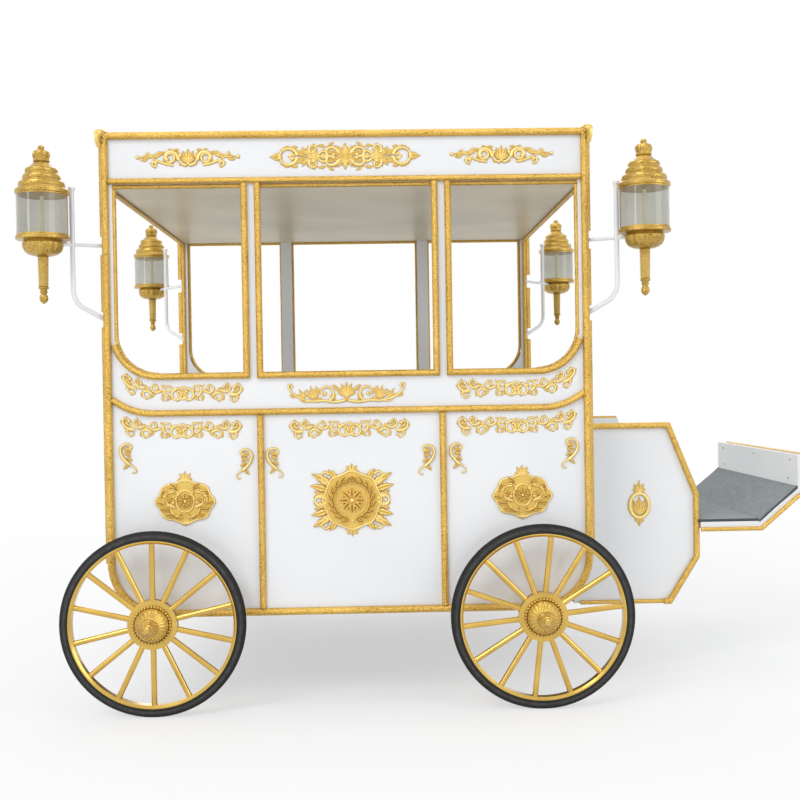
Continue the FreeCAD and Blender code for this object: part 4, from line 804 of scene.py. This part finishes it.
def side_places():
    """Each ornament of a side, by band, with its distance from mid-length and its height in millimetres."""
    fascia = FASCIA_MIDDLE * MILLI
    return {"fascia": [
        (fascia_centre(), 0, fascia),
        (fascia_side(), 665, fascia + 4), (fascia_side(), -665, fascia + 4),
    ], "waist": [
        (waist_centre(), -10, 1334),
        (garland(62), 715, 1342), (moved(garland(62), flip_x=True), -705, 1342),
        (garland(0), 0, 1180),
        (garland(30), 715, 1184), (moved(garland(30), flip_x=True), -712, 1184),
    ], "panel": [
        (corner_scroll(), -939, 1065), (moved(corner_scroll(), flip_x=True), -450, 1034),
        (corner_scroll(), -319, 1037), (moved(corner_scroll(), flip_x=True), 326, 1039),
        (corner_scroll(), 462, 1044), (moved(corner_scroll(), flip_x=True), 940, 1056),
        (side_medallion(), -702, 892), (side_medallion(), 734, 894),
        (centre_medallion(), 6, 874),
    ]}


def on_side(side, face, start, ahead, up):
    """Turns (across, up, out) from a point of an upright side face into a place in metres."""
    def onto(u, v, w):
        return start + (ahead + u) / MILLI, side * (face + w / MILLI), (up + v) / MILLI
    return onto


def on_end(end):
    """The same from the middle of the front or rear fascia."""
    def onto(u, v, w):
        return MID_X + end * (HALF_LENGTH + w / MILLI), u / MILLI, FASCIA_MIDDLE + v / MILLI
    return onto


EMBLEM_AHEAD, EMBLEM_UP = 309, 793    # the box emblem's middle: from the box's rear edge, and its height


def ornaments():
    """Carved scrolls, garlands and medallions of both sides, the box sides and the end fascias."""
    bands = side_places()
    for name, side in SIDES.items():
        for band, places in bands.items():
            relief = Relief()
            for strokes, ahead, up in places:
                relief.add(strokes, on_side(side, SIDE_FACE, MID_X, ahead, up))
            relief.finish(f"carving_{band}_{name}", BODY, CARVED)
        box_low, box_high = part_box(f"box_side_{name}")
        face = max(abs(box_low.y), abs(box_high.y))
        emblem = Relief()
        emblem.add(box_emblem(), on_side(side, face, box_low.x, EMBLEM_AHEAD, EMBLEM_UP))
        emblem.finish(f"carving_box_{name}", BODY, CARVED)
    for name, end in ENDS.items():
        relief = Relief()
        relief.add(fascia_centre(), on_end(end))
        relief.finish(f"carving_fascia_{name}", BODY, CARVED)


ornaments()


# ---------------------------------------------------------------- turned and fitted details
def outward(axis, angle):
    """The direction at an angle about an axis that is square to the carriage's length."""
    ahead = Vector((1, 0, 0))
    return ahead * math.cos(angle) + axis.cross(ahead) * math.sin(angle)


def turned(name, body, finish, foot, axis, rows, steps, lobes=0):
    """A form turned about an axis from a foot point. Row: distance along, radius, depth of its lobes."""
    mesh = bmesh.new()
    rings = []
    for along, radius, depth in rows:
        ring_points = []
        for index in range(steps):
            angle = math.tau * index / steps
            reach = radius + depth * (abs(math.cos(lobes * angle / 2)) - 1.0)
            ring_points.append(mesh.verts.new(foot + axis * along + outward(axis, angle) * reach))
        rings.append(ring_points)
    skin(mesh, rings)
    for end in (rings[0], rings[-1]):
        mesh.faces.new(end)
    bmesh.ops.recalc_face_normals(mesh, faces=mesh.faces)
    return as_piece(name, mesh, body, finish, 60.0)


def bead_ring(name, body, finish, middle, axis, radius, bead, count):
    """A ring of round beads."""
    mesh = bmesh.new()
    for index in range(count):
        spot = middle + outward(axis, math.tau * index / count) * radius
        bmesh.ops.create_icosphere(mesh, subdivisions=2, radius=bead, matrix=Matrix.Translation(spot))
    return as_piece(name, mesh, body, finish)


HUB_CAP = 0.125       # the hub cap's tip in front of the outer plate
DOME = 0.071          # radius of the hub's dome
TURNED_STEPS = 72
FLUTES = 22
FLUTE_STEPS = 8       # points round the dome to each flute
BEAD_SHADE_RADIUS = 0.0805    # radius of the dark ring behind the beads, painted shade between them
HUB_BEADS, HUB_BEAD, BEAD_CIRCLE = 36, 0.0050, 0.0765    # number, radius, radius of their circle


def hubs():
    """Beaded ring over a dark ring of painted shade, fluted dome and long bell nose of each wheel."""
    for tyre in TYRES:
        wheel = tyre.replace("tyre_", "wheel_")
        low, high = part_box(wheel)
        out = 1 if low.y + high.y > 0 else -1
        tip = high.y if out > 0 else -low.y
        foot = Vector(((low.x + high.x) / 2, out * (tip - HUB_CAP), (low.z + high.z) / 2))
        axis = Vector((0, out, 0))
        turned(f"flutes_{wheel}", wheel, WHEEL_GOLD, foot, axis, [
            (HUB_CAP * 0.055, DOME - 0.0008, 0.0), (HUB_CAP * 0.085, DOME + 0.0016, 0.003),
            (HUB_CAP * 0.155, DOME * 0.975, 0.0042), (HUB_CAP * 0.255, DOME * 0.84, 0.0040),
            (HUB_CAP * 0.33, DOME * 0.66, 0.003), (HUB_CAP * 0.385, DOME * 0.545, 0.0018),
            (HUB_CAP * 0.43, DOME * 0.475, 0.001), (HUB_CAP * 0.48, DOME * 0.43, 0.0),
            (HUB_CAP * 0.53, DOME * 0.41, 0.0), (HUB_CAP * 0.60, DOME * 0.345, 0.0),
        ], FLUTES * FLUTE_STEPS, FLUTES)
        # A dark ring under the beads: painted shade between them.
        turned(f"bead_shade_ring_{wheel}", wheel, BEAD_SHADE, foot, axis, [
            (HUB_CAP * 0.030, BEAD_SHADE_RADIUS, 0.0), (HUB_CAP * 0.054, BEAD_SHADE_RADIUS, 0.0),
            (HUB_CAP * 0.058, BEAD_SHADE_RADIUS - 0.0015, 0.0), (HUB_CAP * 0.058, BEAD_SHADE_RADIUS - 0.0105, 0.0),
        ], TURNED_STEPS)
        middle = foot + axis * HUB_CAP * 0.078
        bead_ring(f"beads_{wheel}", wheel, WHEEL_GOLD, middle, axis, BEAD_CIRCLE, HUB_BEAD, HUB_BEADS)


# Places up a lantern are parts of its height, and radii are parts of its brim's.
RIBS, RIBS_FOOT, RIBS_HEAD = 22, 0.114, 0.292
CANDLE_RINGS, CANDLE_FOOT, CANDLE_HEAD = 17, 0.437, 0.678
CANDLE_WIDTH = 0.0165     # metres
CROWN_BEADS, CROWN_BEAD = 20, 0.0042    # number, radius in metres


def lamp_details():
    """Ribbed stem, gadrooned bowl, leafy crown and pale candle tube of each lantern."""
    up = Vector((0, 0, 1))
    for key, (low, high) in LANTERNS.items():
        height = high.z - low.z
        brim = (high.x - low.x) / 2
        foot = Vector(((low.x + high.x) / 2, (low.y + high.y) / 2, low.z))
        ribs = []
        for index in range(RIBS + 1):
            share = RIBS_FOOT + (RIBS_HEAD - RIBS_FOOT) * index / RIBS
            girth = brim * (0.186 + 0.018 * index / RIBS)
            ribs += [(height * (share - 0.0026), girth - 0.0020, 0.0), (height * share, girth + 0.0014, 0.0)]
        turned(f"stem_{key}", BODY, STEM_LIT_GOLD, foot, up, ribs, 32)
        turned(f"bowl_{key}", BODY, LAMP_GOLD, foot, up, [
            (height * level, brim * girth + 0.0025, depth) for level, girth, depth in (
                (0.300, 0.27, 0.0), (0.304, 0.38, 0.002), (0.313, 0.53, 0.004), (0.328, 0.65, 0.006),
                (0.348, 0.72, 0.006), (0.368, 0.745, 0.005), (0.380, 0.74, 0.003))
        ], 112, 14)
        turned(f"crown_{key}", BODY, LAMP_GOLD, foot, up, [
            (height * level, brim * girth, depth) for level, girth, depth in (
                (0.893, 0.27, 0.002), (0.902, 0.30, 0.004), (0.914, 0.30, 0.006), (0.926, 0.335, 0.009),
                (0.942, 0.345, 0.012), (0.956, 0.30, 0.010), (0.966, 0.18, 0.003), (0.971, 0.13, 0.0))
        ], 64, 8)
        middle = foot + up * height * 0.897
        bead_ring(f"crown_beads_{key}", BODY, LAMP_GOLD, middle, up, brim * 0.275, CROWN_BEAD, CROWN_BEADS)
        candle = []
        for index in range(CANDLE_RINGS + 1):
            share = CANDLE_FOOT + (CANDLE_HEAD - CANDLE_FOOT) * index / CANDLE_RINGS
            candle.append((height * (share - 0.004), CANDLE_WIDTH * 0.45, 0.0))
            candle.append((height * share, CANDLE_WIDTH / 2, 0.0))
        turned(f"candle_{key}", BODY, CANDLE, foot, up, candle[1:], 28)


CAP_PROUD_X, CAP_PROUD_Y, CAP_PROUD_Z = 0.017, 0.022, 0.013    # the cap's corner beyond the panels' corner
CAP_LOBES = [         # each lobe's middle line, in millimetres from the cap's corner
    [(0, 4), (16, 6), (32, -4)],
    [(-2, 0), (18, -4), (33, -18)],
    [(-3, -4), (14, -14), (30, -32)],
    [(-4, -8), (8, -26), (22, -47)],
    [(-6, -10), (-2, -34), (8, -64)],
]


def corner_caps():
    """A leaf folded over each upper corner, its lobes fanned down and inwards."""
    for name, side in SIDES.items():
        for end_name, end in ENDS.items():
            relief = Relief()
            x, y, z = HALF_LENGTH + CAP_PROUD_X, SIDE_FACE + CAP_PROUD_Y, ROOF + CAP_PROUD_Z

            def over_side(u, v, w):
                return MID_X + end * (x - u / MILLI), side * (SIDE_FACE + w / MILLI), z + v / MILLI

            def over_end(u, v, w):
                return MID_X + end * (HALF_LENGTH + w / MILLI), side * (y - u / MILLI), z + v / MILLI
            for onto in (over_side, over_end):
                for index, spots in enumerate(CAP_LOBES):
                    relief.add(through(spots, 7.0, 36.0 - index, "lobe"), onto)
                relief.add([([Vector((8, -4))], 17.0, 37.0, "boss")], onto)
            relief.finish(f"corner_cap_{end_name}_{name}", BODY, CARVED)


SCREW = 0.0055        # radius of a screw's head
SCREW_PLACES = ((-0.42, 0.86), (0.0, 0.86), (0.42, 0.86), (-0.40, 0.40), (0.40, 0.40))


def dash_screws():
    """Domed screws that hold the dash panel: three along its head, two above the carpet."""
    low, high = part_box("dash_panel")
    mesh = bmesh.new()
    for across, up in SCREW_PLACES:
        place = (low.x, (low.y + high.y) / 2 + across * (high.y - low.y), low.z + up * (high.z - low.z))
        bmesh.ops.create_uvsphere(
            mesh, u_segments=14, v_segments=8, radius=SCREW,
            matrix=Matrix.Translation(place) @ Matrix.Diagonal((0.6, 1.0, 1.0, 1.0)))
    as_piece("dash_screws", mesh, BODY, STEEL)


BINDING_STEPS = 10
BINDING_WIDE, BINDING_HIGH = 0.006, 0.0055    # half of each
BINDING_SUNK = 0.003  # its middle below the carpet's top


def carpet_binding():
    """Rounded edge sewn along both sides of the footboard's carpet."""
    carpet_node = bpy.data.objects["footboard_carpet"]
    tops = {}
    for vertex in carpet_node.data.vertices:
        place = carpet_node.matrix_world @ vertex.co
        key = round(place.x, 3)
        tops[key] = max(tops.get(key, -1.0), place.z)
    low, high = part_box("footboard_carpet")
    mesh = bmesh.new()
    for edge in (low.y, high.y):
        rows = []
        for x, z in sorted(tops.items()):
            row = []
            for index in range(BINDING_STEPS):
                angle = math.tau * index / BINDING_STEPS
                y = edge + math.cos(angle) * BINDING_WIDE
                row.append(mesh.verts.new((x, y, z - BINDING_SUNK + math.sin(angle) * BINDING_HIGH)))
            rows.append(row)
        skin(mesh, rows)
        mesh.faces.new(rows[0])
        mesh.faces.new(rows[-1])
    bmesh.ops.recalc_face_normals(mesh, faces=mesh.faces)
    as_piece("carpet_binding", mesh, BODY, BINDING)


hubs()
lamp_details()
corner_caps()
dash_screws()
carpet_binding()


# ---------------------------------------------------------------- light, floor and camera
FLOOR_SIZE = 60
FLOOR_FADE = (2.4, 7.0)    # from this far to that far from the middle, the floor turns to plain white
LAMPS = [                  # name, place, size of its square, watts
    ("key", (-8.0, -13.0, 13.0), 8.0, 1250.0),
    ("fill", (12.0, -9.0, 6.0), 8.0, 420.0),
    ("top", (0.0, 1.0, 15.0), 10.0, 480.0),
    ("back", (0.0, 15.0, 8.0), 10.0, 420.0),
    ("streak", (-9.0, -8.0, 3.5), 2.0, 55.0),
]
LAMPS_AIM = Vector((0, 0, 1.0))
PURE_WHITE = (1.0, 1.0, 1.0, 1.0)
SKY = (0.93, 0.96, 1.0, 1.0)
SKY_STRENGTH = 0.58


def seen_directly(tree):
    """1 where a surface is seen by the camera, through glass or in a polished surface."""
    path = tree.nodes.new("ShaderNodeLightPath")
    total = path.outputs["Is Camera Ray"]
    for ray in ("Is Transmission Ray", "Is Glossy Ray"):
        total = joined(tree, "MAXIMUM", total, path.outputs[ray])
    return total


def blend_into(output, tree, share, first, second):
    """Sends a mix of two shaders to the tree's output."""
    blend = tree.nodes.new("ShaderNodeMixShader")
    tree.links.new(share, blend.inputs["Fac"])
    tree.links.new(first, blend.inputs[1])
    tree.links.new(second, blend.inputs[2])
    tree.links.new(blend.outputs["Shader"], tree.nodes[output].inputs["Surface"])


def pale_floor():
    """Plain pale floor that keeps the shadow and turns to plain white further out."""
    bpy.ops.mesh.primitive_plane_add(size=FLOOR_SIZE, location=(0, 0, 0))
    floor = bpy.context.object
    floor.name = "floor"
    made, tree, shader = material("pale_floor", Roughness=0.9)
    paint(tree, shader, noise(tree, 0.8), [(0.0, (0.90, 0.90, 0.90)), (1.0, (0.92, 0.92, 0.92))])
    white = add(tree, "ShaderNodeEmission", Color=PURE_WHITE, Strength=1.0)
    away = vector_joined(tree, "LENGTH", position(tree))["Value"]
    fade = spread(tree, away, 0.55, 1.0, *FLOOR_FADE)
    share = joined(tree, "MULTIPLY", fade, seen_directly(tree))
    blend_into("Material Output", tree, share, shader.outputs["BSDF"], white.outputs["Emission"])
    floor.data.materials.append(made)


def backdrop():
    """A soft sky that lights the object and shows as plain white."""
    world = bpy.data.worlds.new("studio")
    bpy.context.scene.world = world
    world.use_nodes = True
    tree = world.node_tree
    sky = settle(tree.nodes["Background"], Color=SKY, Strength=SKY_STRENGTH)
    shown = add(tree, "ShaderNodeBackground", Color=PURE_WHITE, Strength=1.0)
    first, second = sky.outputs["Background"], shown.outputs["Background"]
    blend_into("World Output", tree, seen_directly(tree), first, second)


def lamps():
    """Large soft lamps round the carriage, and a small one for streaks in the glass."""
    for name, place, size, power in LAMPS:
        data = bpy.data.lights.new(name, "AREA")
        data.size = size
        data.energy = power
        lamp = bpy.data.objects.new(name, data)
        lamp.visible_transmission = False
        bpy.context.scene.collection.objects.link(lamp)
        lamp.location = place
        lamp.rotation_mode = "QUATERNION"
        lamp.rotation_quaternion = (LAMPS_AIM - Vector(place)).to_track_quat("-Z", "Y")


MOULDINGS = 0.008        # the near side's mouldings in front of its panels
CAMERA_AHEAD = 0.1115    # camera ahead of the body's middle
CAMERA_AWAY = 4.690      # camera from the near side's mouldings
CAMERA_HEIGHT = 1.354
CAMERA_YAW = math.radians(1.283)
CAMERA_PITCH = math.radians(0.698)
CAMERA_ROLL = math.radians(-0.901)
CAMERA_LENS = 49.61      # millimetres, as is its sensor
CAMERA_SENSOR = 36.0
CAMERA_REACH = 200.0


def camera():
    """The side view, a little ahead of the middle, at chest height."""
    data = bpy.data.cameras.new("camera")
    data.lens = CAMERA_LENS
    data.sensor_width = CAMERA_SENSOR
    data.clip_end = CAMERA_REACH
    made = bpy.data.objects.new("camera", data)
    bpy.context.scene.collection.objects.link(made)
    near_side = SIDE_FACE + MOULDINGS
    forward = Vector((
        math.sin(CAMERA_YAW) * math.cos(CAMERA_PITCH),
        math.cos(CAMERA_YAW) * math.cos(CAMERA_PITCH),
        -math.sin(CAMERA_PITCH),
    ))
    right = forward.cross(Vector((0, 0, 1))).normalized()
    up = right.cross(forward)
    right_rolled = right * math.cos(CAMERA_ROLL) + up * math.sin(CAMERA_ROLL)
    up_rolled = up * math.cos(CAMERA_ROLL) - right * math.sin(CAMERA_ROLL)
    turn = Matrix((right_rolled, up_rolled, -forward)).transposed()
    made.matrix_world = Matrix.Translation(
        (MID_X + CAMERA_AHEAD, -near_side - CAMERA_AWAY, CAMERA_HEIGHT)) @ turn.to_4x4()
    bpy.context.scene.camera = made


pale_floor()
backdrop()
lamps()
camera()
bpy.context.scene.view_settings.view_transform = "Standard"
